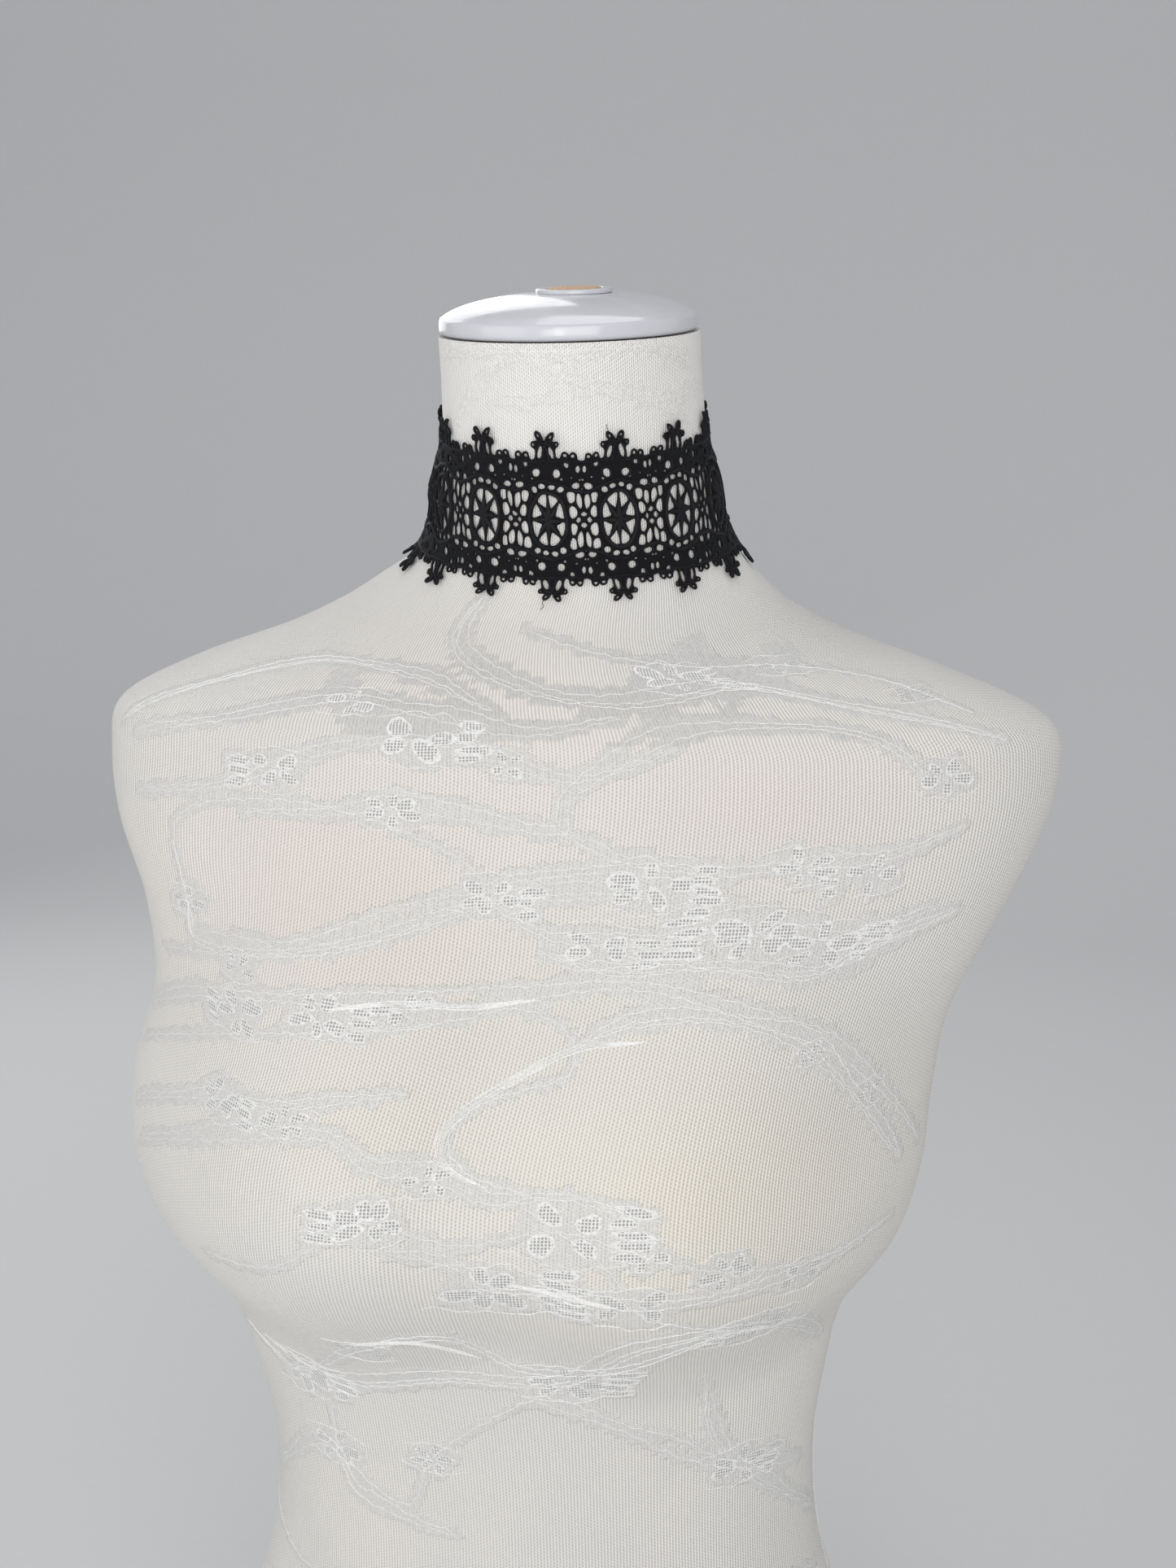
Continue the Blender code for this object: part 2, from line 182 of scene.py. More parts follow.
def skin(turn, height):
    """Points of the form's skin. The turn is from the front, -Y, towards +X."""
    turn, height = np.broadcast_arrays(np.asarray(turn, float), np.asarray(height, float))
    facing = np.cos(turn)
    depth = np.where(facing > 0, column("front", height), column("back", height))
    x = column("half_width", height) * np.sin(turn) + column("aside", height)
    y = -depth * facing
    rise = np.where(height > BUST_HEIGHT, BUST_RISE, BUST_DROP)
    up = ((height - BUST_HEIGHT) / rise) ** 2
    for side in (-1, 1):
        out = ((x - BUST_MIDDLE - side * BUST_APART) / BUST_SPREAD) ** 2
        swell = np.maximum(1 - up - out, 0) ** 1.7
        y = y - BUST_REACH * np.maximum(facing, 0) ** 0.4 * swell
    roll = TOP_ROLL * np.maximum((height - ROLL_FROM) / (TOP.height - ROLL_FROM), 0)
    z = height + y * column("tilt", height) + x * roll
    return np.stack([x, y + column("centre", height), z], axis=-1) + SHIFT


def skin_ways(turn, height):
    """Two steps on the skin: how a point moves for one radian of turn and one metre of height."""
    height = np.clip(height, 0.001, TOP.height - 0.001)
    beside = (skin(turn + 0.005, height) - skin(turn - 0.005, height)) / 0.01
    slope = (skin(turn, height + 0.5 * MM) - skin(turn, height - 0.5 * MM)) / MM
    return beside, slope


def lifted(turn, height, lift):
    """Points that stand off the skin by lift, in metres."""
    beside, slope = skin_ways(turn, height)
    out = np.cross(beside, slope)
    out /= np.linalg.norm(out, axis=-1, keepdims=True)
    return skin(turn, height) + out * np.asarray(lift)[..., None]


# The neck as a surface that the lace is laid on


def length_along(points):
    return np.concatenate([[0.0], np.cumsum(np.linalg.norm(np.diff(points, axis=0), axis=1))])


NECK_HEIGHTS = np.arange(0.560, 0.692, 0.002)
NECK_TURNS = np.linspace(-math.pi, math.pi, 181)
AWAY = np.arange(-0.190, 0.1901, 0.0005)


def neck_rows():
    """Rings up the neck: how far each is up the slope from the lace's middle row, and the turn
    at every half millimetre along it, counted from the seam between two wheels."""
    rings = [skin(NECK_TURNS, height) for height in NECK_HEIGHTS]
    slopes = [length_along(np.array([ring[i] for ring in rings])) for i in range(0, 181, 15)]
    up = np.mean(slopes, axis=0)
    turn_at = []
    for ring in rings:
        along = length_along(ring)
        start = np.interp(LACE_TURN, NECK_TURNS, along)
        turn_at.append(np.interp(start + AWAY, along, NECK_TURNS))
    return up - np.interp(LACE_MIDDLE, NECK_HEIGHTS, up), np.array(turn_at)


NECK_UP, NECK_TURN_AT = neck_rows()


def on_neck(across, up, lift):
    """The places of chart points, in millimetres, that lie lift above the neck's skin."""
    across, up, lift = (np.asarray(v, float) for v in np.broadcast_arrays(across, up, lift))
    row = np.interp(up * CHART_RISE * MM, NECK_UP, np.arange(len(NECK_UP)))
    low = np.minimum(row.astype(int), len(NECK_UP) - 2)
    pitch = PITCH_BOTTOM + (PITCH_TOP - PITCH_BOTTOM) * (0.5 + 0.5 * up / BODY_HALF)
    place = (across * MM * pitch / CHART_PITCH - AWAY[0]) / (AWAY[1] - AWAY[0])
    cell = np.clip(place.astype(int), 0, len(AWAY) - 2)
    part = place - cell
    turns = []
    for ring in (low, low + 1):
        left, right = NECK_TURN_AT[ring, cell], NECK_TURN_AT[ring, cell + 1]
        turns.append(left + (right - left) * part)
    turn = turns[0] + (turns[1] - turns[0]) * (row - low)
    height = NECK_HEIGHTS[low] + (NECK_HEIGHTS[1] - NECK_HEIGHTS[0]) * (row - low)
    return lifted(turn, height, lift * MM)


def ease(value, start, end):
    """0 below start, 1 above end, and a smooth rise between them."""
    t = np.clip((value - start) / (end - start), 0, 1)
    return t * t * (3 - 2 * t)


def settled(across, up):
    """A chart point after the lace has been worn and handled: nothing on it stays quite even."""
    more_across = 0.22 * np.sin(0.37 * across + 0.31 * up) + 0.12 * np.sin(1.1 * across - 0.2 * up)
    more_up = 0.20 * np.sin(0.29 * across - 0.4 * up + 1) + 0.16 * np.sin(0.83 * across + 2)
    edge = ease(np.abs(across), LACE_END - 8, LACE_END)
    return across + more_across * (1 - edge), up + more_up * (1 - edge)


def lace_lift(across, up):
    """The lace's middle layer above the skin, in millimetres: its ends and its tips stand off."""
    rise = (END_LIFT - LACE_LIFT) * ease(np.abs(across), LACE_END - END_SLOPE, LACE_END)
    tips = 0.55 * ease(np.abs(up), 22.0, 33.0) * (1 + 0.6 * np.sin(across * 0.23 + up))
    return LACE_LIFT + 0.5 + rise + tips


# Shader maths


def sum_of(operation, swapped=False):
    """A method that joins two values by a Math node."""
    def joined(self, other):
        return self.math(operation, *((other, self) if swapped else (self, other)))
    return joined


class Value:
    """A socket of a material, which takes part in sums as a number does."""

    def __init__(self, graph, socket):
        self.graph = graph
        self.socket = socket

    def math(self, operation, first, second=0.0):
        return self.graph.node("ShaderNodeMath", {"operation": operation}, {0: first, 1: second})

    __add__, __radd__ = sum_of("ADD"), sum_of("ADD", True)
    __sub__, __rsub__ = sum_of("SUBTRACT"), sum_of("SUBTRACT", True)
    __mul__, __rmul__ = sum_of("MULTIPLY"), sum_of("MULTIPLY", True)
    __truediv__, __rtruediv__ = sum_of("DIVIDE"), sum_of("DIVIDE", True)

    def __abs__(self):
        return self.math("ABSOLUTE", self)

    def output(self, name):
        """Another output of the same node."""
        return Value(self.graph, self.socket.node.outputs[name])


class Finish:
    """The nodes of one material round its Principled shader."""

    def __init__(self, name, colour, roughness, **constants):
        self.material = bpy.data.materials.new(name)
        self.material.use_nodes = True
        self.tree = self.material.node_tree
        self.shader = self.tree.nodes["Principled BSDF"]
        self.shader.inputs["Base Color"].default_value = (*colour[:3], 1)
        self.shader.inputs["Roughness"].default_value = roughness
        self.material.diffuse_color = (*colour[:3], 1)
        for socket, value in constants.items():
            self.shader.inputs[socket.replace("_", " ")].default_value = value

    def node(self, kind, settings=None, sockets=None, output=0):
        """Adds a node: its settings first, then the values or links of its sockets."""
        made = self.tree.nodes.new(kind)
        for name, value in (settings or {}).items():
            if name == "stops":
                self.set_stops(made.color_ramp.elements, value)
            else:
                setattr(made, name, value)
        for name, value in (sockets or {}).items():
            if isinstance(value, Value):
                self.tree.links.new(value.socket, made.inputs[name])
            else:
                made.inputs[name].default_value = value
        return Value(self, made.outputs[output])

    def set_stops(self, elements, stops):
        while len(elements) < len(stops):
            elements.new(1.0)
        for element, (position, colour) in zip(elements, stops):
            element.position = position
            element.color = (*colour[:3], 1)

    def feed(self, socket, value):
        self.tree.links.new(value.socket, self.shader.inputs[socket])

    def place(self):
        return self.node("ShaderNodeTexCoord", output="Object")

    def attribute(self, name):
        return self.node("ShaderNodeAttribute", {"attribute_name": name}, output="Fac")

    def chart(self, name):
        """The two numbers of a UV map."""
        both = self.node("ShaderNodeUVMap", {"uv_map": name})
        across = self.node("ShaderNodeSeparateXYZ", {}, {0: both})
        return across, across.output("Y")

    def mix(self, factor, first, second):
        first = first if isinstance(first, Value) else (*first[:3], 1)
        second = second if isinstance(second, Value) else (*second[:3], 1)
        settings = {"data_type": "RGBA"}
        return self.node("ShaderNodeMix", settings, {0: factor, 6: first, 7: second}, 2)

    def mottled(self, noise, dark, pale):
        """One colour in the low parts of a noise and another in its high parts."""
        return self.mix(self.rise(noise, 0.35, 0.65), dark, pale)

    def noise(self, place, scale, detail=2.0, roughness=0.5):
        sockets = {"Vector": place, "Scale": scale, "Detail": detail, "Roughness": roughness}
        return self.node("ShaderNodeTexNoise", {}, sockets)

    def rise(self, value, start, end, low=0.0, high=1.0):
        """Goes smoothly from low to high while the value goes from start to end."""
        settings = {"interpolation_type": "SMOOTHSTEP"}
        sockets = {"Value": value, "From Min": start, "From Max": end}
        sockets.update({"To Min": low, "To Max": high})
        return self.node("ShaderNodeMapRange", settings, sockets)

    def part(self, value):
        """What is left of a value after its whole number."""
        return value.math("FRACT", value)

    def wave(self, value):
        return value.math("SINE", value * (2 * math.pi))

    def bump(self, height, distance, strength=1.0):
        sockets = {"Height": height, "Distance": distance, "Strength": strength}
        self.feed("Normal", self.node("ShaderNodeBump", {}, sockets))


# Making pieces


def add_piece(mesh, material, stands_for=(), sharp=math.radians(60)):
    """Makes a smooth shaded piece of a finished mesh. It may stand for nodes of the model."""
    mesh.materials.append(material)
    mesh.shade_smooth()
    mesh.set_sharp_from_angle(angle=sharp)
    made = bpy.data.objects.new(mesh.name, mesh)
    bpy.context.scene.collection.objects.link(made)
    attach(made, BODY)
    if stands_for:
        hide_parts(*stands_for)
    return made


def mesh_of(name, bm):
    mesh = bpy.data.meshes.new(name)
    bm.to_mesh(mesh)
    bm.free()
    return mesh


def cord_mesh(name, lines, resolution=1):
    """Round tubes along lines. A line is its points, the radius at each, and if it is closed."""
    curve = bpy.data.curves.new(name, "CURVE")
    curve.dimensions = "3D"
    curve.fill_mode = "FULL"
    curve.bevel_depth = 1.0
    curve.bevel_resolution = resolution
    curve.use_fill_caps = True
    for points, radii, closed in lines:
        spline = curve.splines.new("POLY")
        spline.points.add(len(points) - 1)
        flat = np.concatenate([points, np.ones((len(points), 1))], axis=1).ravel()
        spline.points.foreach_set("co", flat)
        spline.points.foreach_set("radius", np.broadcast_to(radii, len(points)).copy())
        spline.use_cyclic_u = closed
    holder = bpy.data.objects.new(name, curve)
    bpy.context.scene.collection.objects.link(holder)
    ready = holder.evaluated_get(bpy.context.evaluated_depsgraph_get())
    mesh = bpy.data.meshes.new_from_object(ready)
    bpy.data.objects.remove(holder)
    bpy.data.curves.remove(curve)
    mesh.name = name
    mesh.materials.clear()
    return mesh


def turned_mesh(name, profile, place, sides, soft=0.0):
    """A solid turned about the Z axis, its sharp edges rounded, and then placed."""
    bm = bmesh.new()
    verts = [bm.verts.new((radius, 0, height)) for radius, height in profile]
    edges = [bm.edges.new(pair) for pair in zip(verts, verts[1:])]
    if profile[0][0] > 0 and profile[-1][0] > 0:
        edges.append(bm.edges.new((verts[-1], verts[0])))
    bmesh.ops.spin(
        bm, geom=verts + edges, axis=(0, 0, 1), cent=(0, 0, 0), steps=sides,
        angle=2 * math.pi, use_merge=True,
    )
    bmesh.ops.remove_doubles(bm, verts=bm.verts, dist=1e-6)
    if soft:
        sharp = [e for e in bm.edges if e.is_manifold and e.calc_face_angle() > 0.6]
        bmesh.ops.bevel(
            bm, geom=sharp, offset=soft, segments=3, profile=0.5, affect="EDGES", material=-1,
        )
    bmesh.ops.recalc_face_normals(bm, faces=bm.faces)
    bmesh.ops.transform(bm, matrix=place, verts=bm.verts)
    return mesh_of(name, bm)


def through(points, closed=False, steps=6):
    """A smooth line through points, in any number of dimensions."""
    points = np.array(points, float)
    count = len(points)
    spans = count if closed else count - 1
    line = []
    for i in range(spans):
        if closed:
            a, b, c, d = (points[(i + k) % count] for k in (-1, 0, 1, 2))
        else:
            b, c = points[i], points[i + 1]
            a = points[i - 1] if i else 2 * b - c
            d = points[i + 2] if i + 2 < count else 2 * c - b
        for t in np.arange(steps) / steps:
            line.append(
                0.5 * (2 * b + (c - a) * t + (2 * a - 5 * b + 4 * c - d) * t**2
                       + (3 * b - a - 3 * c + d) * t**3)
            )
    if not closed:
        line.append(points[-1])
    return np.array(line)


# The cover's pattern: vines and flowers at (turn in degrees, height in millimetres)

VINES = [
    [(-70, 534), (-59, 554), (-46, 568), (-21, 566), (-7, 554)],
    [(-64, 530), (-44, 542), (-29, 554), (-16, 550), (-3, 544), (10, 552)],
    [(-5, 588), (13, 578), (30, 572), (49, 570), (63, 562), (66, 548)],
    [(-23, 604), (-21, 582), (-3, 564), (11, 558), (32, 564), (46, 554), (64, 538)],
    [(-63, 506), (-44, 514), (-34, 524), (-25, 534), (-16, 540), (-7, 534), (3, 526), (15, 540)],
    [(-39, 506), (-26, 508), (-18, 512), (-10, 510), (2, 506), (3, 520), (14, 542), (26, 548),
     (39, 544), (46, 526)],
    [(-54, 466), (-52, 500), (-35, 512), (-21, 508), (-10, 496), (-6, 486)],
    [(-6, 486), (7, 492), (18, 490), (31, 494), (41, 494), (55, 506)],
    [(2, 506), (9, 496), (18, 492)],
    [(-54, 466), (-53, 452), (-36, 456), (-21, 466), (-9, 478), (4, 484), (15, 484)],
    [(-66, 442), (-40, 452), (-24, 460), (-13, 470), (-6, 478)],
    [(-6, 480), (1, 468), (8, 466), (18, 468), (27, 470), (40, 466), (55, 474)],
    [(1, 462), (11, 458), (23, 460), (37, 454), (46, 462), (60, 472)],
    [(-75, 414), (-47, 434), (-25, 442), (-13, 442), (-2, 444), (10, 452), (20, 450), (35, 436),
     (49, 420), (77, 372)],
    [(-74, 400), (-39, 426), (-21, 434), (-8, 438), (0, 442), (7, 436), (8, 422), (-2, 410),
     (-5, 398), (-1, 386), (7, 380)],
    [(8, 432), (15, 442), (27, 442), (44, 424), (69, 370)],
    [(-69, 376), (-42, 400), (-28, 406), (-18, 412), (-12, 414)],
    [(-65, 362), (-33, 392), (-21, 398), (-14, 388), (-6, 384), (2, 376), (13, 380), (23, 374)],
    [(-44, 336), (-28, 346), (-18, 364), (-13, 370), (-2, 360), (12, 368), (23, 362), (35, 352),
     (53, 344), (70, 346)],
    [(-11, 358), (-2, 350), (2, 340), (13, 340), (22, 338), (34, 340), (48, 340), (61, 342)],
    [(-63, 284), (-43, 274), (-22, 302), (-7, 312), (4, 294), (21, 298), (36, 316), (55, 312)],
    [(-54, 284), (-31, 278), (-10, 288), (12, 290), (25, 316), (43, 318), (71, 288)],
    [(-37, 264), (-37, 240), (-22, 224), (-15, 248), (-1, 272), (12, 288)],
    [(-70, 210), (-42, 240), (-34, 222), (-11, 214)],
    [(38, 288), (41, 260), (49, 240), (63, 220), (83, 196)],
    [(4, 282), (21, 266), (34, 250), (49, 238), (73, 228)],
    [(6, 376), (18, 356), (23, 336), (38, 320)],
    [(-66, 686), (-25, 692), (6, 690), (34, 692), (69, 684)],
    [(-50, 664), (-28, 682), (-11, 688), (8, 680), (42, 672), (78, 674)],
    [(-28, 672), (1, 674), (27, 676), (67, 662)],
    [(-80, 190), (-50, 176), (-20, 186), (10, 170), (40, 184), (80, 172)],
    [(-78, 150), (-45, 160), (-22, 146), (8, 152), (34, 138), (78, 146)],
    [(-76, 112), (-48, 122), (-18, 108), (12, 120), (44, 104), (76, 116)],
    [(-80, 70), (-40, 82), (-10, 66), (24, 80), (52, 62), (80, 74)],
    [(-76, 36), (-30, 44), (6, 30), (40, 42), (78, 32)],
]
FLOWERS = [
    (24, 568, 14), (49, 570, 11), (-28, 554, 12), (63, 556, 10), (-16, 540, 17),
    (-34, 524, 13), (50, 526, 12), (-5, 532, 9), (-18, 512, 12), (-54, 466, 10),
    (13, 488, 17), (31, 494, 12), (41, 490, 13), (-6, 482, 13), (8, 466, 14),
    (27, 470, 20), (37, 464, 16), (-42, 448, 10), (-41, 432, 15), (-27, 438, 15),
    (-15, 442, 12), (42, 426, 8), (-41, 402, 14), (-28, 402, 11), (57, 404, 9),
    (-6, 384, 10), (-13, 370, 15), (12, 368, 20), (23, 362, 10), (2, 340, 20),
    (22, 338, 16), (35, 352, 12), (48, 340, 12), (-43, 274, 16), (-22, 302, 12),
    (12, 290, 16), (43, 318, 15), (49, 240, 14), (-15, 248, 10), (-39, 242, 12),
    (10, 170, 14), (-46, 160, 13), (38, 138, 14), (-18, 108, 15), (44, 104, 12),
    (-40, 82, 12), (24, 80, 14),
]
SATIN = [
    ([(17, 436), (9, 432), (2, 420), (-4, 408), (-6, 398), (-4, 388), (1, 382)], 1.7),
    ([(-26, 440), (-16, 444), (-6, 442), (2, 446)], 1.1),
    ([(4, 344), (12, 341), (20, 339)], 1.0),
    ([(-24, 306), (-12, 311), (-2, 300)], 1.2),
    ([(150, 444), (163, 438), (176, 424), (184, 408)], 1.6),
    ([(166, 350), (180, 344), (192, 348)], 1.2),
    ([(-150, 500), (-164, 494), (-175, 499)], 1.2),
    ([(20, 172), (34, 182), (46, 180)], 1.2),
    ([(-46, 116), (-36, 120), (-24, 112)], 1.2),
]
VINES_APART = (0.0034, 0.0052, 0.0, 0.0044)
THREAD_STEP = 0.0016
CORD_STEP = 0.0022
PATTERN_HEIGHTS = (0.012, 0.685)
SIDE_SEAM = [(1.62, 0.010), (1.60, 0.2), (1.62, 0.44)]
COVER_ROUND = 300
COVER_UP = 240
KNIT_ROUND = 0.85
HEM = (0.02, 0.10, 0.20)


def square_to(along):
    """Unit steps to the left of flat directions."""
    along = along / np.maximum(np.linalg.norm(along, axis=1, keepdims=True), 1e-9)
    return np.stack([-along[:, 1], along[:, 0]], axis=1)


def offset_line(line, away):
    """A line of (turn, height) moved sideways on the skin, by away metres at each point."""
    beside, slope = skin_ways(*line.T)
    scale = np.stack([np.linalg.norm(beside, axis=1), np.linalg.norm(slope, axis=1)], axis=1)
    across = square_to(np.gradient(line, axis=0) * scale)
    return line + across * np.asarray(away)[:, None] / scale


def evenly_on_skin(line, step):
    along = length_along(skin(*line.T))
    places = np.linspace(0, along[-1], max(int(along[-1] / step), 6))
    turn, height = (np.interp(places, along, line[:, k]) for k in (0, 1))
    return np.stack([turn, height], axis=1), places


def wandering(line, number, size=0.00035):
    """The same line with the small wander of a knitted-in thread."""
    line, along = evenly_on_skin(line, THREAD_STEP)
    away = np.sin(along * 880 + number) + 0.8 * np.sin(along * 560 + 2.3 * number)
    away += 0.7 * np.sin(along * 1530 + 1.7 * number)
    return offset_line(line, away * size)


def marked(points):
    """Points in degrees and millimetres, in radians and metres."""
    return [(math.radians(turn), height * MM) for turn, height in points]


def vine_pairs():
    """The vines of the cover, front and back: the line, and how far its partner runs off it."""
    pairs = []
    for number, vine in enumerate(VINES):
        flat = marked(vine)
        behind = [(math.pi - turn, height + (9 - number % 5 * 4) * MM) for turn, height in flat]
        for points in (flat, behind):
            pairs.append((through(points, steps=10), VINES_APART[number % 4]))
    return pairs


def all_vines():
    """Every thread along the vines as lines of (turn, height)."""
    lines = []
    for number, (line, apart) in enumerate(vine_pairs()):
        lines.append(wandering(line, number))
        if apart:
            even, along = evenly_on_skin(line, THREAD_STEP)
            t = along / along[-1]
            swell = np.sin(math.pi * t) ** 0.4 * (1 + 0.35 * np.sin(17 * t + number))
            lines.append(wandering(offset_line(even, apart * swell), number + 0.5))
            if number % 3 == 0:
                lines.append(wandering(offset_line(even, -0.45 * apart * swell), number + 0.8))
    return lines


def all_flowers():
    """Every flower of the cover: turn, height and reach in metres, front and back."""
    flowers = []
    for turn, height, size in FLOWERS:
        reach = 0.72 * size * MM
        flowers.append((math.radians(turn), height * MM, reach))
        if height < 600:
            flowers.append((math.radians(180 - turn), (height - 4) * MM, reach))
    return flowers


def satin_threads():
    """Bundles of threads side by side, which read as broad satin stitches."""
    lines = []
    for stitch, wide in SATIN:
        even, along = evenly_on_skin(through(marked(stitch), steps=8), 0.0012)
        t = along / along[-1]
        swell = np.sin(math.pi * t) ** 0.7 * wide * MM
        for k in range(5):
            away = (k / 2 - 1) * swell * (1 + 0.16 * np.sin(9 * t + 2 * k))
            lines.append(offset_line(even, away))
    return lines


def flower_threads():
    """Loose outlines that pass over and under each flower."""
    chance = np.random.default_rng(11)
    lines = []
    for turn, height, reach in all_flowers():
        for side in (1, -1):
            across = np.linspace(-1.9, 1.9, 9) * reach * chance.uniform(0.8, 1.1)
            up = side * reach * (0.95 - 0.11 * (across / reach) ** 2)
            up = up + chance.uniform(-0.12, 0.12, 9) * reach
            line = np.stack(spot(turn, height, across, up), axis=1)
            lines.append(wandering(through(line), len(lines), 0.0003))
    return lines


def leaning(a, b, lean):
    """Two flat numbers, turned by an angle from the first towards the second."""
    return a * math.cos(lean) - b * math.sin(lean), a * math.sin(lean) + b * math.cos(lean)


def spot(turn, height, across, up):
    """Points near a place on the skin, across and up from it in metres, as turns and heights."""
    beside, slope = skin_ways(np.array([turn]), np.array([height]))
    wide, tall = np.linalg.norm(beside), np.linalg.norm(slope)
    return turn + np.asarray(across) / wide, height + np.asarray(up) / tall


def leaf_places():
    """Petals, then leaves: each one's middle, its half length, half width and lean."""
    chance = np.random.default_rng(7)
    petals, leaves = [], []
    for turn, height, reach in all_flowers():
        count = 4 + int(chance.integers(0, 3))
        first = chance.uniform(0, 2 * math.pi)
        for k in range(count):
            lean = first + 2 * math.pi * (k + chance.uniform(-0.3, 0.3)) / count
            long = reach * chance.uniform(0.34, 0.58) * (0.7 + 0.5 * abs(math.cos(lean)))
            wide = reach * chance.uniform(0.20, 0.34)
            out = reach * chance.uniform(0.50, 0.78)
            at = spot(turn, height, math.cos(lean) * out * 1.35, math.sin(lean) * out * 0.80)
            petals.append((*at, long, wide, math.atan2(math.sin(lean) * 0.45, math.cos(lean))))
        if reach > 9.0 * MM:
            side = 1 if chance.random() > 0.4 else -1
            for k in range(3 + int(reach > 11 * MM) + int(reach > 14 * MM)):
                long = reach * chance.uniform(0.35, 0.70)
                up = (k - 1.5) * 4.3 * MM + chance.uniform(-0.6, 0.6) * MM
                out = side * (reach * 1.25 + long * chance.uniform(0.9, 1.3))
                at = spot(turn, height, out, up)
                wide, lean = chance.uniform(1.5, 2.3) * MM, chance.uniform(-0.2, 0.2)
                leaves.append((*at, long, wide, lean))
    low, high = PATTERN_HEIGHTS
    return [[place for place in group if low < place[1] < high] for group in (petals, leaves)]


# Settings that a user would change


def a_colour(name, description, default):
    return bpy.props.FloatVectorProperty(
        name=name, description=description, subtype="COLOR", size=3, min=0, max=1, default=default,
    )


def a_number(name, description, default, low, high, **kind):
    return bpy.props.FloatProperty(
        name=name, description=description, default=default, min=low, max=high, **kind,
    )


class CoverSettings(bpy.types.PropertyGroup):
    colour: a_colour(
        "Cover colour", "Colour of the stretch lace on the dress form", (0.77, 0.74, 0.695),
    )
    rib: a_number(
        "Rib pitch", "Distance from one knitted rib to the next", 0.0015, 0.0005, 0.005,
        unit="LENGTH", precision=4,
    )
    vine: a_number(
        "Vine cord", "Radius of the fine cords that outline the pattern", 0.00023, 0.0001, 0.002,
        unit="LENGTH", precision=5,
    )


class LaceSettings(bpy.types.PropertyGroup):
    colour: a_colour("Thread colour", "Colour of the choker's thread", (0.004, 0.004, 0.005))
    half_thick: a_number(
        "Half thickness", "Half the thickness of the lace in its middle layer",
        0.00045, 0.0002, 0.001, unit="LENGTH", precision=5,
    )


class FittingSettings(bpy.types.PropertyGroup):
    plastic: a_colour("Cap colour", "Colour of the glossy neck cap", (0.61, 0.615, 0.645))
    wood: a_colour(
        "Plug colour", "Colour of the wooden plug on the neck cap", (0.60, 0.39, 0.23),
    )
    metal: a_colour(
        "Metal colour", "Colour of the choker's rings and clasp", (0.14, 0.14, 0.15),
    )


class StudioSettings(bpy.types.PropertyGroup):
    floor: a_colour("Floor colour", "Colour of the floor and the backdrop", (0.60, 0.605, 0.61))
    key: a_number("Key light", "Power of the large soft light, in watts", 13.5, 0, 500)
    lens: a_number(
        "Lens", "Focal length of the camera's lens", LENS, 10, 200, unit="CAMERA",
    )


# Finishes

CLOSE_DARK = (0.71, 0.70, 0.68)
CLOSE_PALE = (0.84, 0.83, 0.81)
NET_DARK = (0.66, 0.65, 0.63)
NET_PALE = (0.78, 0.77, 0.75)
THREAD_PALE = (0.89, 0.88, 0.86)
# Painted light: the paler colour painted on the neck of the cover
NECK_PAINTED_LIGHT = (0.95, 0.925, 0.885)
PLASTIC_DULL = (0.57, 0.575, 0.61)
COVER_DARK = (0.72, 0.70, 0.665)
BLUSH = (0.76, 0.66, 0.60)
CREAM = (0.76, 0.70, 0.58)
# Painted shade in the knit's gaps and pits, and the colour of its real dark specks
GAP_SHADE_AND_SPECK = (0.36, 0.33, 0.30)
# Painted shade: the dark colour painted in the petals' pin holes
PIN_HOLE_SHADE = (0.20, 0.18, 0.16)
PIN_ACROSS = 0.00135
PIN_UP = 0.00130
KNIT_SHEEN = {"Sheen_Weight": 0.25, "Sheen_Roughness": 0.4}
BLACK_SHEEN = {
    "Sheen_Weight": 0.02, "Sheen_Roughness": 0.5, "Sheen_Tint": (0.55, 0.60, 0.72, 1),
}


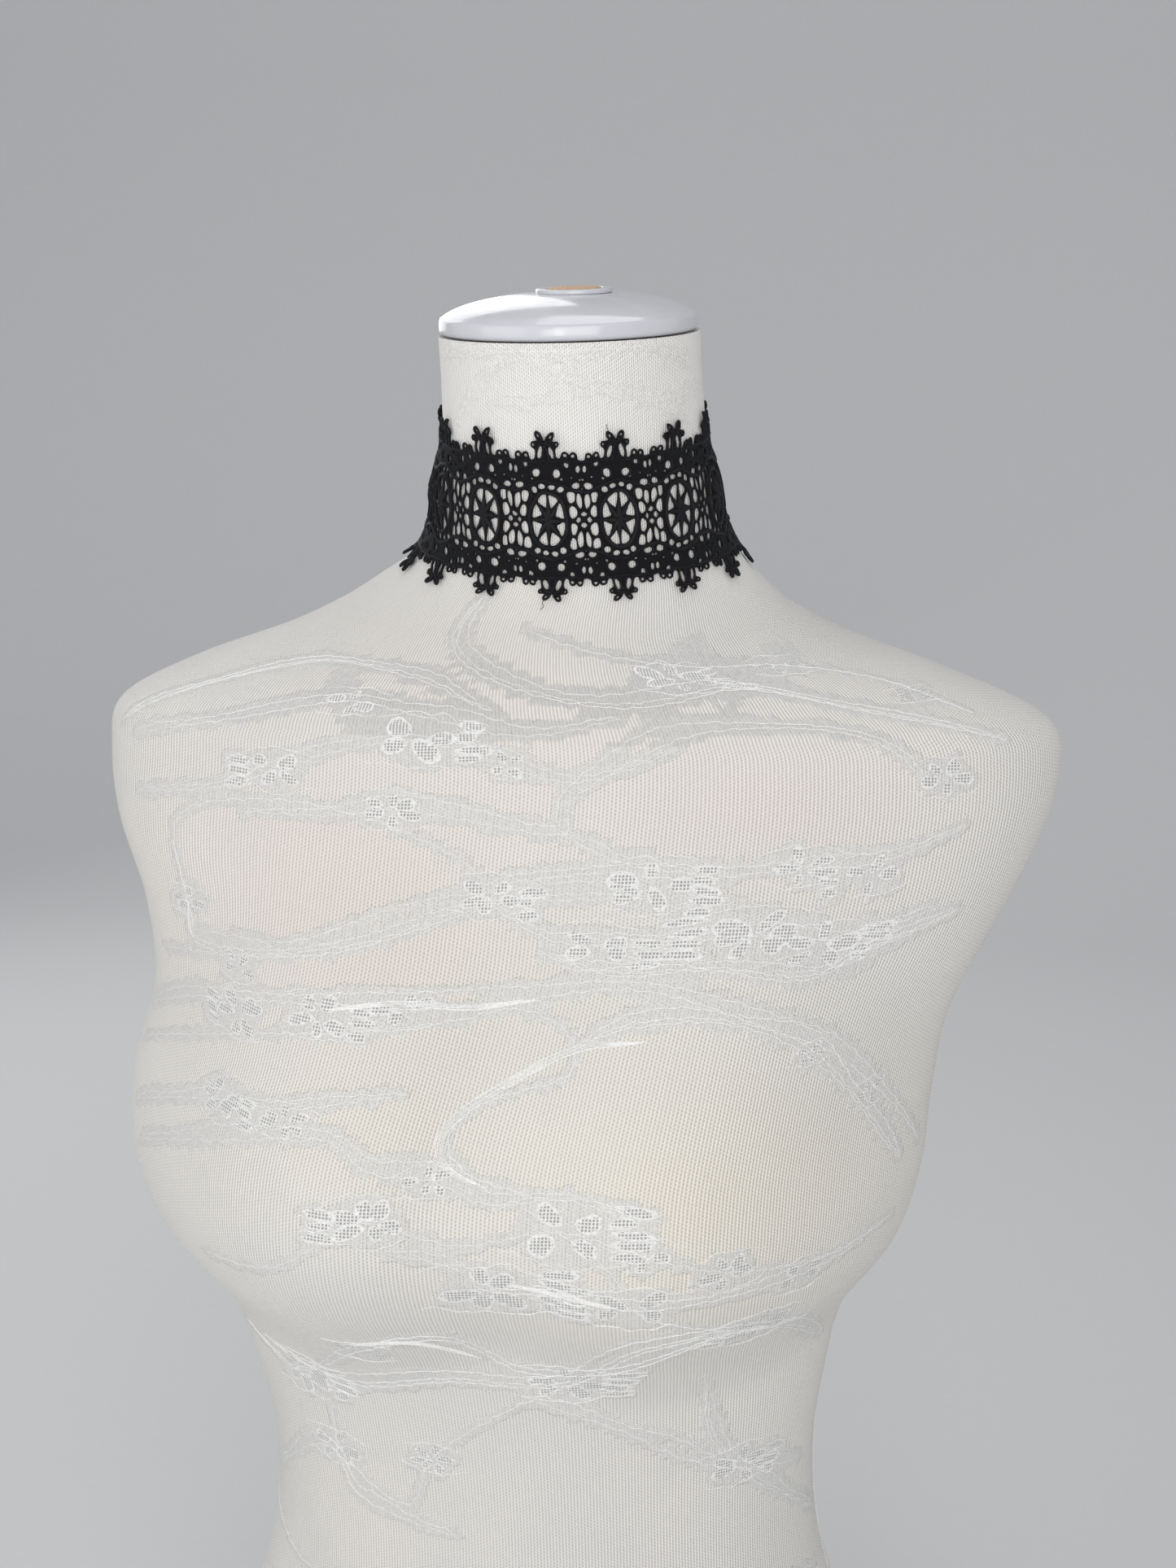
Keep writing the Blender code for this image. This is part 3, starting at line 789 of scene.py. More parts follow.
def knit_finish(settings):
    """Ribbed stretch knit with rows of pin gaps, closer and finer along the vines. Its gaps and
    pits carry painted shade, and its neck is painted paler as painted light.
    """
    f = Finish("cream_stretch_knit", settings.colour, 0.82, **KNIT_SHEEN)
    across, up = f.chart("knit")
    tight = f.attribute("tight")
    ribs = across / settings.rib
    from_gap = 0.5 - abs(f.part(ribs) - 0.5)
    every_other = f.part((ribs + 0.5).math("FLOOR", ribs + 0.5) * 0.5)
    rows = up / (settings.rib * 0.95) + every_other
    from_row = abs(f.part(rows) - 0.5)
    gap = (1 - f.rise(from_gap, 0.06, 0.20)) * (1 - f.rise(from_row, 0.20, 0.40))
    place = f.place()
    ragged = f.noise(place, 330.0, 3.0, 0.7) - 0.5
    close_knit = f.rise(tight + ragged * 1.1, 0.30, 0.72)
    plain = 1 - close_knit
    cloud = f.noise(place, 9.0, 3.0)
    grit = f.noise(place, 900.0, 2.0)
    fine = f.wave((across + up + grit * 0.0005) / 0.0013)
    fine = fine * f.wave((across - up + grit * 0.0005) / 0.0013)
    shade = f.mottled(cloud, COVER_DARK, settings.colour)
    shade = f.mix(f.attribute("blush") * 0.55, shade, BLUSH)
    shade = f.mix(f.attribute("cream") * 0.60, shade, CREAM)
    shade = f.mix(close_knit * 0.66, shade, f.mottled(grit, CLOSE_DARK, CLOSE_PALE))
    pits = f.rise(fine, 0.30, 0.85) * close_knit
    # Painted shade: the knit's gaps and fine pits are darkened as if in shadow; the grit term adds
    # real dark specks
    dark = gap * (plain * 0.26 + 0.24) + f.rise(grit, 0.55, 0.75) * 0.08 + pits * 0.16
    # Painted light: the neck is painted paler, as if it stood brighter under the lights
    shade = f.mix(f.attribute("neck") * 0.92, shade, NECK_PAINTED_LIGHT)
    f.feed("Base Color", f.mix(dark, shade, GAP_SHADE_AND_SPECK))
    ribbed = f.rise(from_gap, 0.0, 0.5) * (plain * 0.7 + 0.3)
    height = ribbed - fine * (1.1 - plain) * 0.5 + grit * 0.4
    crinkle = f.noise(place, 300.0, 3.0, 0.6) * close_knit
    f.bump(height + close_knit * 0.8 + crinkle * 2.4 - gap * 0.6, 0.00034, 0.85)
    return f.material


def vine_finish():
    """Satin cord of the cover's pattern."""
    f = Finish("cream_satin_cord", (0.80, 0.79, 0.77), 0.60, Sheen_Weight=0.2)
    place = f.place()
    strands = f.noise(place, 1600.0, 2.0)
    f.feed("Base Color", f.mottled(strands, CLOSE_DARK, THREAD_PALE))
    f.feed("Roughness", strands * 0.3 + 0.42)
    f.bump(strands, 0.0002, 0.7)
    return f.material


def petal_finish():
    """Open net in the petals and leaves: rows of pin holes inside a closer rim, the holes painted
    dark as painted shade.
    """
    f = Finish("cream_pin_net", CLOSE_PALE, 0.82, **KNIT_SHEEN)
    across, up = f.chart("knit")
    rim = f.attribute("rim")
    pins = abs(f.part(across / PIN_ACROSS) - 0.5) * 2
    rows = abs(f.part(up / PIN_UP) - 0.5) * 2
    hole = f.rise(pins, 0.30, 0.62) * f.rise(rows, 0.22, 0.60)
    place = f.place()
    ragged = f.noise(place, 480.0, 2.0) - 0.5
    inside = 1 - f.rise(rim + ragged * 0.9, 0.62, 0.84)
    open_net = hole * inside
    base = f.mottled(f.noise(place, 900.0, 2.0), NET_DARK, NET_PALE)
    # Painted shade: the open pin holes are darkened as if in shadow
    f.feed("Base Color", f.mix(open_net * 0.72, base, PIN_HOLE_SHADE))
    f.bump(1 - open_net, 0.0003, 0.8)
    return f.material


def thread_finish(settings):
    """Matt black embroidery thread in satin stitch."""
    f = Finish(
        "black_guipure_thread", settings.colour, 0.8, Specular_IOR_Level=0.16, **BLACK_SHEEN,
    )
    across, up = f.chart("chart")
    wander = f.noise(f.place(), 260.0, 2.0) * 1.6
    stitch = f.wave(across / 0.00042 + up / 0.0011 + wander)
    cross = f.wave(across / 0.0016 - up / 0.00046 + wander)
    fuzz = f.noise(f.place(), 2600.0, 2.0)
    lay = f.noise(f.place(), 420.0)
    straight = f.rise(lay, 0.42, 0.58)
    weave = straight * stitch + (1 - straight) * cross
    f.feed("Base Color", f.mix(fuzz, settings.colour, (0.008, 0.008, 0.010)))
    f.feed("Roughness", fuzz * 0.25 + 0.58)
    f.bump(weave * 0.5 + fuzz, 0.00022, 0.8)
    return f.material


def cording_finish(settings):
    """Black thread wound closely over the lace's cords."""
    f = Finish("black_wound_cord", settings.colour, 0.7, Specular_IOR_Level=0.22, **BLACK_SHEEN)
    place = f.place()
    fuzz = f.noise(place, 2400.0, 2.0)
    wraps = f.noise(place, 1100.0, 1.0)
    f.feed("Base Color", f.mix(fuzz, settings.colour, (0.010, 0.010, 0.012)))
    f.feed("Roughness", wraps * 0.3 + 0.50)
    f.bump(wraps + fuzz * 0.6, 0.00022, 0.9)
    return f.material


def cap_finish(settings):
    """Glossy cool white moulded plastic, lightly rubbed."""
    f = Finish("cool_white_gloss_plastic", settings.plastic, 0.16, Coat_Roughness=0.06)
    place = f.place()
    rubbed = f.noise(place, 60.0, 4.0, 0.65)
    fine = f.noise(place, 900.0, 2.0)
    f.feed("Base Color", f.mix(rubbed, PLASTIC_DULL, settings.plastic))
    f.feed("Roughness", f.rise(rubbed, 0.35, 0.75, 0.12, 0.26) + fine * 0.03)
    f.feed("Coat Weight", f.rise(rubbed, 0.3, 0.8, 0.5, 0.2))
    f.bump(rubbed * 0.4 + fine * 0.05, 0.0002, 0.25)
    return f.material


def wood_finish(settings):
    """End grain of a pale wooden plug."""
    f = Finish("plug_end_grain", settings.wood, 0.6)
    place = f.place()
    centre = f.node("ShaderNodeMapping", {}, {"Vector": place, "Location": (-0.004, -0.012, 0)})
    rings = f.node(
        "ShaderNodeTexWave", {"wave_type": "RINGS", "rings_direction": "Z"},
        {"Vector": centre, "Scale": 160.0, "Distortion": 3.0, "Detail": 3.0, "Detail Scale": 2.0},
        output="Fac",
    )
    pores = f.noise(place, 2400.0, 2.0)
    shade = f.mix(rings, settings.wood, (0.44, 0.26, 0.14))
    f.feed("Base Color", f.mix(pores * 0.5, shade, (0.70, 0.50, 0.33)))
    f.feed("Roughness", pores * 0.3 + 0.45)
    f.bump(rings * 0.6 + pores, 0.00025, 0.6)
    return f.material


def metal_finish(settings):
    """Dark plated metal, finely scratched and brighter where it is handled."""
    f = Finish("dark_plated_metal", settings.metal, 0.3, Metallic=1.0)
    place = f.place()
    scratches = f.noise(place, 3200.0, 3.0, 0.7)
    worn = f.noise(place, 380.0, 3.0)
    f.feed("Base Color", f.mix(f.rise(worn, 0.5, 0.75), settings.metal, (0.34, 0.33, 0.32)))
    f.feed("Roughness", scratches * 0.25 + 0.2)
    f.bump(scratches, 0.00004, 0.5)
    return f.material


def board_finish():
    """Painted board that closes the foot of the form."""
    f = Finish("painted_foot_board", (0.62, 0.61, 0.58), 0.7)
    grain = f.noise(f.place(), 45.0, 5.0, 0.6)
    f.feed("Base Color", f.mix(grain, (0.52, 0.51, 0.48), (0.66, 0.65, 0.62)))
    f.bump(grain, 0.0004, 0.4)
    return f.material


def paper_finish(settings):
    """Plain pale studio paper."""
    f = Finish("pale_studio_paper", settings.floor, 0.92)
    tooth = f.noise(f.place(), 220.0, 3.0)
    darker = tuple(0.96 * c for c in settings.floor)
    f.feed("Base Color", f.mix(tooth, darker, settings.floor))
    return f.material


# The dress form's cover


KNIT_STEPS = 240
KNIT_RINGS = np.linspace(-math.pi, math.pi, KNIT_STEPS + 1)
KNIT_ROWS = np.linspace(0, TOP.height, 60)


def knit_tables():
    """How far round the knit each turn is at each row, and how far up it each row is."""
    lengths = np.array([length_along(skin(KNIT_RINGS, row)) for row in KNIT_ROWS])
    front = lengths[:, KNIT_STEPS // 2, None]
    lengths = (lengths - front) * np.sqrt(KNIT_ROUND / lengths[:, -1])[:, None]
    slopes = [length_along(skin(turn, KNIT_ROWS)) for turn in range(-2, 3)]
    return lengths, np.mean(slopes, axis=0)


KNIT_ACROSS, KNIT_UP = knit_tables()


def knit_chart(turn, height):
    """Where a point of the cover is on the knit: round and up, in metres."""
    row = np.clip(height / TOP.height * (len(KNIT_ROWS) - 1), 0, len(KNIT_ROWS) - 1.001)
    low = row.astype(int)
    ring = np.clip((turn + math.pi) / (2 * math.pi) * KNIT_STEPS, 0, KNIT_STEPS - 0.001)
    left = ring.astype(int)
    values = []
    for k in (low, low + 1):
        start, end = KNIT_ACROSS[k, left], KNIT_ACROSS[k, left + 1]
        values.append(start + (end - start) * (ring - left))
    across = values[0] + (values[1] - values[0]) * (row - low)
    across = across + 0.002 * np.sin(height * 9 + 1.3) * np.sin(turn * 1.7)
    up = np.interp(height, KNIT_ROWS, KNIT_UP) + 0.004 * np.sin(turn * 4 + height * 7)
    return np.stack([across, up], axis=-1)


def wrapped(turn):
    """The same turn between half a circle back and half a circle on."""
    return (turn + math.pi) % (2 * math.pi) - math.pi


def near_pattern(places, lines, flowers, leaves):
    """How close each place is to the vines and flowers: 1 on them, 0 a few millimetres off."""
    off = off_marks(places, np.concatenate([skin(*line.T) for line in lines]))
    tight = 1 - ease(off, 0.0020, 0.0034)
    spots = [(turn, height, reach * 1.45, reach * 0.95, 0.0) for turn, height, reach in flowers]
    spots += [(turn, height, long + 3 * MM, wide + 2.2 * MM, lean)
              for turn, height, long, wide, lean in leaves]
    for turn, height, wide, tall, lean in spots:
        middle = skin(turn, height)
        near = np.flatnonzero(np.abs(places - middle).max(axis=1) < max(wide, tall) * 1.3)
        beside, slope = (way / np.linalg.norm(way) for way in skin_ways(turn, height))
        across, up = (places[near] - middle) @ beside, (places[near] - middle) @ slope
        a, b = leaning(across, up, -lean)
        share = np.hypot(a / wide, b / tall)
        tight[near] = np.maximum(tight[near], 1 - ease(share, 0.80, 1.12))
    return tight


def off_marks(points, marks):
    """How far each point in space is from the nearest of the marks."""
    tree = KDTree(len(marks))
    for i, mark in enumerate(marks):
        tree.insert(mark, i)
    tree.balance()
    return np.array([tree.find(point)[2] for point in points])


# Soft patches on the form's front: the place across and up, the width, the height and how much
TINTS = {
    "blush": [(-0.085, 0.480, 0.07, 0.05, 0.9), (0.06, 0.52, 0.09, 0.03, 0.5),
              (-0.03, 0.560, 0.06, 0.03, 0.4), (0.10, 0.50, 0.05, 0.04, 0.4)],
    "cream": [(0.065, 0.380, 0.075, 0.05, 1.0), (-0.06, 0.400, 0.05, 0.03, 0.6),
              (-0.01, 0.455, 0.08, 0.03, 0.4), (0.0, 0.675, 0.05, 0.03, 0.5)],
}


def store(mesh, name, values):
    """Keeps a number for each point of a mesh, for its finish to read."""
    mesh.attributes.new(name, "FLOAT", "POINT").data.foreach_set("value", values)


def make_cover_mesh():
    """A flat grid wrapped round the form's skin, sewn up at the back, with both hems turned in."""
    bm = bmesh.new()
    rows = COVER_UP + 2 * len(HEM)
    bmesh.ops.create_grid(bm, x_segments=COVER_ROUND, y_segments=rows, size=1)
    flat = np.array([vert.co[:2] for vert in bm.verts])
    turn = flat[:, 0] * math.pi
    row = np.round((0.5 + 0.5 * flat[:, 1]) * rows).astype(int) - len(HEM)
    height = np.clip(row / COVER_UP, 0, 1) * TOP.height
    past = np.maximum(np.maximum(-row, row - COVER_UP), 0)
    places = skin(turn, height)
    middle = skin(np.array([0.0, math.pi]), np.array([[0.0], [TOP.height]])).mean(axis=1)
    middle = middle[(row > 0).astype(int)]
    share = np.array([0.0, *HEM])[past]
    places = places + (middle - places) * share[:, None]
    places[:, 2] += np.where(row > 0, -0.4, 0.4) * MM * (past > 0)
    chart = knit_chart(turn, height)
    layer = bm.loops.layers.uv.new("knit")
    bm.verts.index_update()
    for face in bm.faces:
        for loop in face.loops:
            loop[layer].uv = chart[loop.vert.index]
    for vert, place in zip(bm.verts, places):
        vert.co = place
    bmesh.ops.remove_doubles(bm, verts=bm.verts, dist=1e-6)
    return mesh_of("form_cover", bm)


def tint_cover(mesh):
    """Marks where the cover is close to the pattern, warm on the chest, or creamy, and the neck,
    which its finish paints paler as painted light.
    """
    places = np.empty(len(mesh.vertices) * 3)
    mesh.vertices.foreach_get("co", places)
    places = places.reshape(-1, 3)
    petals, leaves = leaf_places()
    tight = near_pattern(places, all_vines(), all_flowers(), petals + leaves)
    # The neck mask: the finish paints the neck paler here as painted light, and the pattern is
    # thinned here
    neck = ease(places[:, 2], 0.575, 0.625)
    store(mesh, "tight", tight * (1 - 0.5 * neck))
    store(mesh, "neck", neck)
    for name, patches in TINTS.items():
        tint = np.zeros(len(places))
        for x, z, wide, tall, much in patches:
            away = ((places[:, 0] - x) / wide) ** 2 + ((places[:, 2] - z) / tall) ** 2
            tint += much * np.exp(-away) * (places[:, 1] < 0.02)
        store(mesh, name, np.minimum(tint, 1))


class CHOKER_OT_cover(bpy.types.Operator):
    """Makes the stretch lace cover of the dress form"""

    bl_idname = "choker.cover"
    bl_label = "Form cover"

    def execute(self, context):
        settings = context.scene.choker_cover
        mesh = make_cover_mesh()
        tint_cover(mesh)
        cover = add_piece(mesh, knit_finish(settings), ["form_body"])
        return {"FINISHED"}


def cord_lines(lines, radius):
    """Lines of (turn, height) as cords half sunk in the cover, thinner at their ends."""
    cords = []
    for line in lines:
        line = line[(line[:, 1] > 0.004) & (line[:, 1] < 0.692)]
        if len(line) < 4:
            continue
        along = length_along(skin(*line.T))
        even = np.linspace(0, along[-1], max(int(along[-1] / CORD_STEP), 3))
        turn = np.interp(even, along, line[:, 0])
        height = np.interp(even, along, line[:, 1])
        thick = radius * (0.55 + 0.45 * np.minimum(np.minimum(even, along[-1] - even) / 0.01, 1))
        cords.append((lifted(turn, height, thick * 0.25), thick, False))
    return cords


class CHOKER_OT_vines(bpy.types.Operator):
    """Lays the fine cords of the pattern on the cover"""

    bl_idname = "choker.vines"
    bl_label = "Vine cords"

    def execute(self, context):
        radius = context.scene.choker_cover.vine
        finish = vine_finish()
        front, back = [], []
        for line in all_vines() + flower_threads() + satin_threads():
            group = front if abs(wrapped(line[len(line) // 2, 0])) < math.pi / 2 else back
            group.append(line)
        for side in (-1, 1):
            front.append(through([(side * turn, height) for turn, height in SIDE_SEAM]))
        for name, lines in (("vines_front", front), ("vines_back", back)):
            add_piece(cord_mesh(name, cord_lines(lines, radius)), finish)
        return {"FINISHED"}


def petal_template():
    """A flat grid from -1 to 1, as a mesh: one patch of net before it is laid."""
    bm = bmesh.new()
    bmesh.ops.create_grid(bm, x_segments=9, y_segments=4, size=1)
    bm.loops.layers.uv.new("knit")
    bm.verts.layers.float.new("rim")
    return mesh_of("petal_template", bm)


def petal_patches(places):
    """Small crowned patches of net on the cover, one for each petal or leaf, in one mesh."""
    template = petal_template()
    count = len(template.vertices)
    flat = np.empty(count * 3)
    template.vertices.foreach_get("co", flat)
    along, side = flat.reshape(-1, 3)[:, :2].T
    corner = np.empty(len(template.loops), int)
    template.loops.foreach_get("vertex_index", corner)
    edge = np.maximum(np.abs(along), np.abs(side))
    template.attributes["rim"].data.foreach_set("value", edge)
    full = np.maximum(1 - np.abs(along) ** 2.6, 0.02) ** 0.6 * (1 + 0.15 * along)
    bm = bmesh.new()
    for number, (turn, height, long, wide, lean) in enumerate(places):
        bent = 0.25 * math.sin(number * 2.1) * along**2
        across, up = leaning(along * long, (side * full + bent) * wide, lean)
        turns, heights = spot(turn, height, across, up)
        points = lifted(turns, heights, 0.00008 + 0.00012 * (1 - edge**2))
        template.vertices.foreach_set("co", points.ravel())
        chart = knit_chart(wrapped(turns), heights)[corner]
        template.uv_layers["knit"].uv.foreach_set("vector", chart.ravel())
        bm.from_mesh(template)
    bpy.data.meshes.remove(template)
    return mesh_of("petal_net", bm)


def leaf_threads(places):
    """Threads along both long sides of each leaf."""
    threads = []
    for number, (turn, height, long, wide, lean) in enumerate(places):
        a = np.linspace(-1.15, 1.15, 9) * long
        for side in (1, -1):
            b = side * wide * (1.12 - 0.5 * (a / long / 1.15) ** 2)
            places = spot(turn, height, *leaning(a, b, lean))
            line = wandering(np.stack(places, axis=1), number, 0.0002)
            threads.append((lifted(*line.T, 0.00010), 0.00018, False))
    return threads


class CHOKER_OT_petals(bpy.types.Operator):
    """Lays the open net petals and leaves and their outlines on the cover"""

    bl_idname = "choker.petals"
    bl_label = "Petals and leaves"

    def execute(self, context):
        petals, leaves = leaf_places()
        add_piece(petal_patches(petals + leaves), petal_finish())
        add_piece(cord_mesh("leaf_threads", leaf_threads(leaves), 0), vine_finish())
        return {"FINISHED"}


FOOT_THICK = 0.006
FOOT_SHARE = 0.985
FOOT_MIDDLE = (0.0093, -0.0119, 0)


class CHOKER_OT_foot(bpy.types.Operator):
    """Makes the board under the form, which it stands on"""

    bl_idname = "choker.foot"
    bl_label = "Foot board"

    def execute(self, context):
        bm = bmesh.new()
        bmesh.ops.create_circle(bm, cap_ends=True, segments=128, radius=1)
        for vert in bm.verts:
            turn = math.atan2(vert.co.x, -vert.co.y)
            vert.co = skin(turn, 0.0)
        solid = bmesh.ops.extrude_face_region(bm, geom=bm.faces[:])
        top = [v for v in solid["geom"] if isinstance(v, bmesh.types.BMVert)]
        bmesh.ops.translate(bm, verts=top, vec=(0, 0, FOOT_THICK))
        bmesh.ops.scale(
            bm, verts=bm.verts, vec=(FOOT_SHARE, FOOT_SHARE, 1),
            space=Matrix.Translation(FOOT_MIDDLE),
        )
        bmesh.ops.recalc_face_normals(bm, faces=bm.faces)
        add_piece(mesh_of("foot_board", bm), board_finish())
        return {"FINISHED"}


# The neck cap


def cap_seat():
    lean = Matrix.Rotation(math.atan(TOP.tilt), 4, "X")
    lean = lean @ Matrix.Rotation(-math.atan(TOP_ROLL), 4, "Y")
    middle = (TOP.aside + SHIFT[0], TOP.centre + SHIFT[1], TOP.height + TOP.aside * TOP_ROLL)
    return Matrix.Translation(middle) @ lean @ Matrix.Translation((0, 0, GAP))


class CHOKER_OT_cap(bpy.types.Operator):
    """Makes the domed neck cap, its ring and the wooden plug"""

    bl_idname = "choker.cap"
    bl_label = "Neck cap"

    def execute(self, context):
        settings = context.scene.choker_fittings
        plastic = cap_finish(settings)
        seat = cap_seat()

        def dome_height(radius):
            return CAP_RIM + CAP_DOME * (1 - (radius / CAP_RADIUS) ** 2.3) ** 0.62

        dome = [CAP_RADIUS * math.cos(turn) for turn in np.linspace(0.20, math.pi / 2, 22)]
        dome[-1] = 0.0
        bead = [(CAP_RADIUS - CAP_BEAD + CAP_BEAD * math.cos(a), CAP_BEAD - CAP_BEAD * math.sin(a))
                for a in np.linspace(math.pi / 2, 0, 6)]
        shoulder = [(CAP_RADIUS, CAP_RIM - 0.0008), (CAP_RADIUS - 0.0001, CAP_RIM + 0.0002),
                    (CAP_RADIUS - 0.0004, CAP_RIM + 0.0012)]
        profile = [(0, 0), *bead, *shoulder]
        profile += [(radius, dome_height(radius)) for radius in dome]
        dome_mesh = turned_mesh("gloss_cap", profile, seat, 160)
        add_piece(dome_mesh, plastic, ["neck_cap"])
        seat = seat @ Matrix.Translation((COLLAR_ASIDE, 0, 0))
        foot = dome_height(COLLAR_BORE - COLLAR_ASIDE) + GAP
        rise = foot + COLLAR_RISE
        ring = [(COLLAR_BORE, foot - 0.0004), (COLLAR_RADIUS, foot - 0.0007),
                (COLLAR_RADIUS, rise), (COLLAR_BORE, rise)]
        ring_mesh = turned_mesh("plug_ring", ring, seat, 96, PLUG_SOFT)
        add_piece(ring_mesh, plastic, ["cap_ring"])
        foot = dome_height(0) + GAP
        rise = foot + PLUG_RISE
        plug = [(0, foot), (PLUG_RADIUS, foot), (PLUG_RADIUS, rise),
                (PLUG_RADIUS * 0.5, rise + 0.0003), (0, rise + 0.0004)]
        plug_mesh = turned_mesh("wood_plug", plug, seat, 96, PLUG_SOFT)
        add_piece(plug_mesh, wood_finish(settings), ["cap_plug"])
        return {"FINISHED"}


# The lace's chart: a quarter of one repeat, in millimetres from the middle of a wheel

RING = (7.5, 10.8)
RING_HALF = 0.8
THREAD_ROUND = 0.55
BESIDE_EDGE = 0.32
FILL_STEP = 0.85
BATCH = 500
ROUND_HOLES = [
    (1.95, 12.75, 1.40, 0.95, 0.0), (5.35, 11.55, 1.15, 1.20, -0.6), (4.0, 17.7, 1.55, 1.5, 0.0),
    (5.8, 15.6, 0.45, 0.45, 0.0), (11.55, 12.9, 1.60, 1.20, 0.1), (13.5, 15.0, 0.40, 0.40, 0.0),
    (12.85, 19.2, 0.75, 1.35, 0.0), (8.35, 20.9, 0.95, 1.0, 0.0), (8.0, 24.0, 0.65, 0.55, 0.0),
    (11.1, 24.0, 0.65, 0.55, 0.0), (2.45, 25.2, 0.92, 2.30, 0.22), (2.55, 30.9, 0.30, 0.55, -0.6),
    (4.9, 28.0, 0.40, 0.38, 0.0), (12.05, 0.0, 1.0, 1.05, 0.0), (10.3, 16.3, 0.35, 0.35, 0.0),
]
MIDDLE_HOLES = [(14.15, 2.3, 1.0, 1.05, 0.0), (14.15, 11.45, 0.35, 0.5, 0.0)]
CORNER_HOLES = [
    [(7.6, 10.4), (9.6, 10.9), (10.9, 10.2), (10.6, 7.2), (9.0, 6.4), (8.2, 7.6)],
    [(11.6, 10.3), (13.0, 9.7), (13.65, 8.0), (13.55, 5.2), (13.0, 4.1), (11.6, 6.0), (11.2, 7.6)],
    [(8.6, 5.0), (9.9, 5.9), (11.3, 4.5), (11.9, 2.4), (10.6, 1.1), (9.0, 0.9)],
]
EDGE = [
    (0.0, 29.3), (0.6, 30.2), (1.5, 31.5), (2.6, 32.5), (3.6, 32.6), (3.9, 31.7), (3.5, 30.5),
    (3.0, 29.5), (3.9, 29.3), (5.2, 29.1), (6.0, 28.2), (5.7, 27.1), (4.8, 26.7), (4.3, 26.1),
    (4.3, 24.7), (4.6, 23.5), (5.1, 22.8), (6.0, 22.8), (6.5, 23.8), (6.9, 24.9), (8.0, 25.4),
    (9.1, 25.0), (9.6, 24.3), (10.1, 24.9), (11.2, 25.4), (12.3, 24.9), (12.7, 23.9),
    (12.8, 22.9), (13.4, 22.1), (14.15, 21.7),
]
CROWN_TOP = max(up for _, up in EDGE)
SPOKES = [k * math.pi / 4 for k in range(8)]
REPEATED = range(-REPEATS // 2, REPEATS // 2)
MIRRORS = ((1, 1), (-1, 1), (1, -1), (-1, -1))


def rounded(points, cuts=2, closed=True):
    """A line with its corners cut, as thread rounds them."""
    line = np.array(points, float)
    for _ in range(cuts):
        after = np.roll(line, -1, axis=0)
        both = np.stack([0.75 * line + 0.25 * after, 0.25 * line + 0.75 * after], axis=1)
        cut = both.reshape(-1, 2)
        line = cut if closed else np.concatenate([line[:1], cut[:-2], line[-1:]])
    return line


def oval(x, y, wide, tall, lean, sides=12):
    turns = np.arange(sides) * 2 * math.pi / sides
    a, b = wide * np.cos(turns), tall * np.sin(turns)
    return np.stack([x + a * math.cos(lean) - b * math.sin(lean),
                     y + a * math.sin(lean) + b * math.cos(lean)], axis=1)


def wheel_hole(first, second):
    """The gap between two spokes of a wheel, with its outer side along the ring."""
    inner = (RING[0] - RING_HALF, RING[1] - RING_HALF)
    middle, half = 0.5 * (first + second), 0.5 * (second - first)
    line = []
    for share, off in [(0.44, 0.0), (0.60, -0.46), (0.80, -0.76), (0.97, -0.84), (1.0, -0.45),
                       (1.0, 0.0), (1.0, 0.45), (0.97, 0.84), (0.80, 0.76), (0.60, 0.46)]:
        turn = middle + off * half
        line.append((inner[0] * share * math.cos(turn), inner[1] * share * math.sin(turn)))
    return rounded(line, 1)


def mirrored(line):
    """A line in every quarter of a repeat, or in both halves where it lies on the middle."""
    flips = MIRRORS[:2] if np.allclose(line[:, 1], 0) else MIRRORS
    return [line * np.array(flip) for flip in flips]


def repeat_holes():
    """The holes of one repeat round its wheel, those on the seam between repeats once."""
    holes = [wheel_hole(a, a + math.pi / 4) for a in SPOKES]
    for x, y, wide, tall, lean in ROUND_HOLES:
        holes += mirrored(oval(x, y, wide, tall, lean))[:2 if y == 0 else 4]
    for line in CORNER_HOLES:
        holes += mirrored(rounded(line))
    for x, y, wide, tall, lean in MIDDLE_HOLES:
        line = oval(x, y, wide, tall, lean)
        holes += [line, line * np.array((1, -1))]
    return holes


def upper_edge(first, last):
    """The upper edge over several repeats, left to right."""
    line = []
    for repeat in range(first, last):
        middle = (repeat + 0.5) * CHART_PITCH
        line += [(middle - x, y) for x, y in reversed(EDGE[1:])]
        line += [(middle + x, y) for x, y in EDGE[:-1]]
    line.append((last * CHART_PITCH, EDGE[-1][1]))
    return rounded(line, 2, closed=False)


def in_batches(measure, points):
    """A measure of many points, taken a batch at a time to spare memory."""
    starts = range(0, max(len(points), 1), BATCH)
    return np.concatenate([measure(points[start:start + BATCH]) for start in starts])


def inside_loop(points, loop):
    """Which of the points are inside a closed line."""
    ax, ay = loop[:, 0], loop[:, 1]
    bx, by = np.roll(ax, -1), np.roll(ay, -1)

    def crossed_oddly(some):
        x, y = some[:, 0, None], some[:, 1, None]
        crosses = (ay > y) != (by > y)
        at = ax + (y - ay) / np.where(by == ay, 1e-9, by - ay) * (bx - ax)
        return (crosses & (x < at)).sum(axis=1) % 2 == 1

    return in_batches(crossed_oddly, points)


def off_lines(points, marks):
    """How far each flat point is from the nearest of the marks."""
    def nearest(some):
        gaps = np.hypot(*(some[:, None, :] - marks[None, :, :]).transpose(2, 0, 1))
        return gaps.min(axis=1)

    return in_batches(nearest, points)


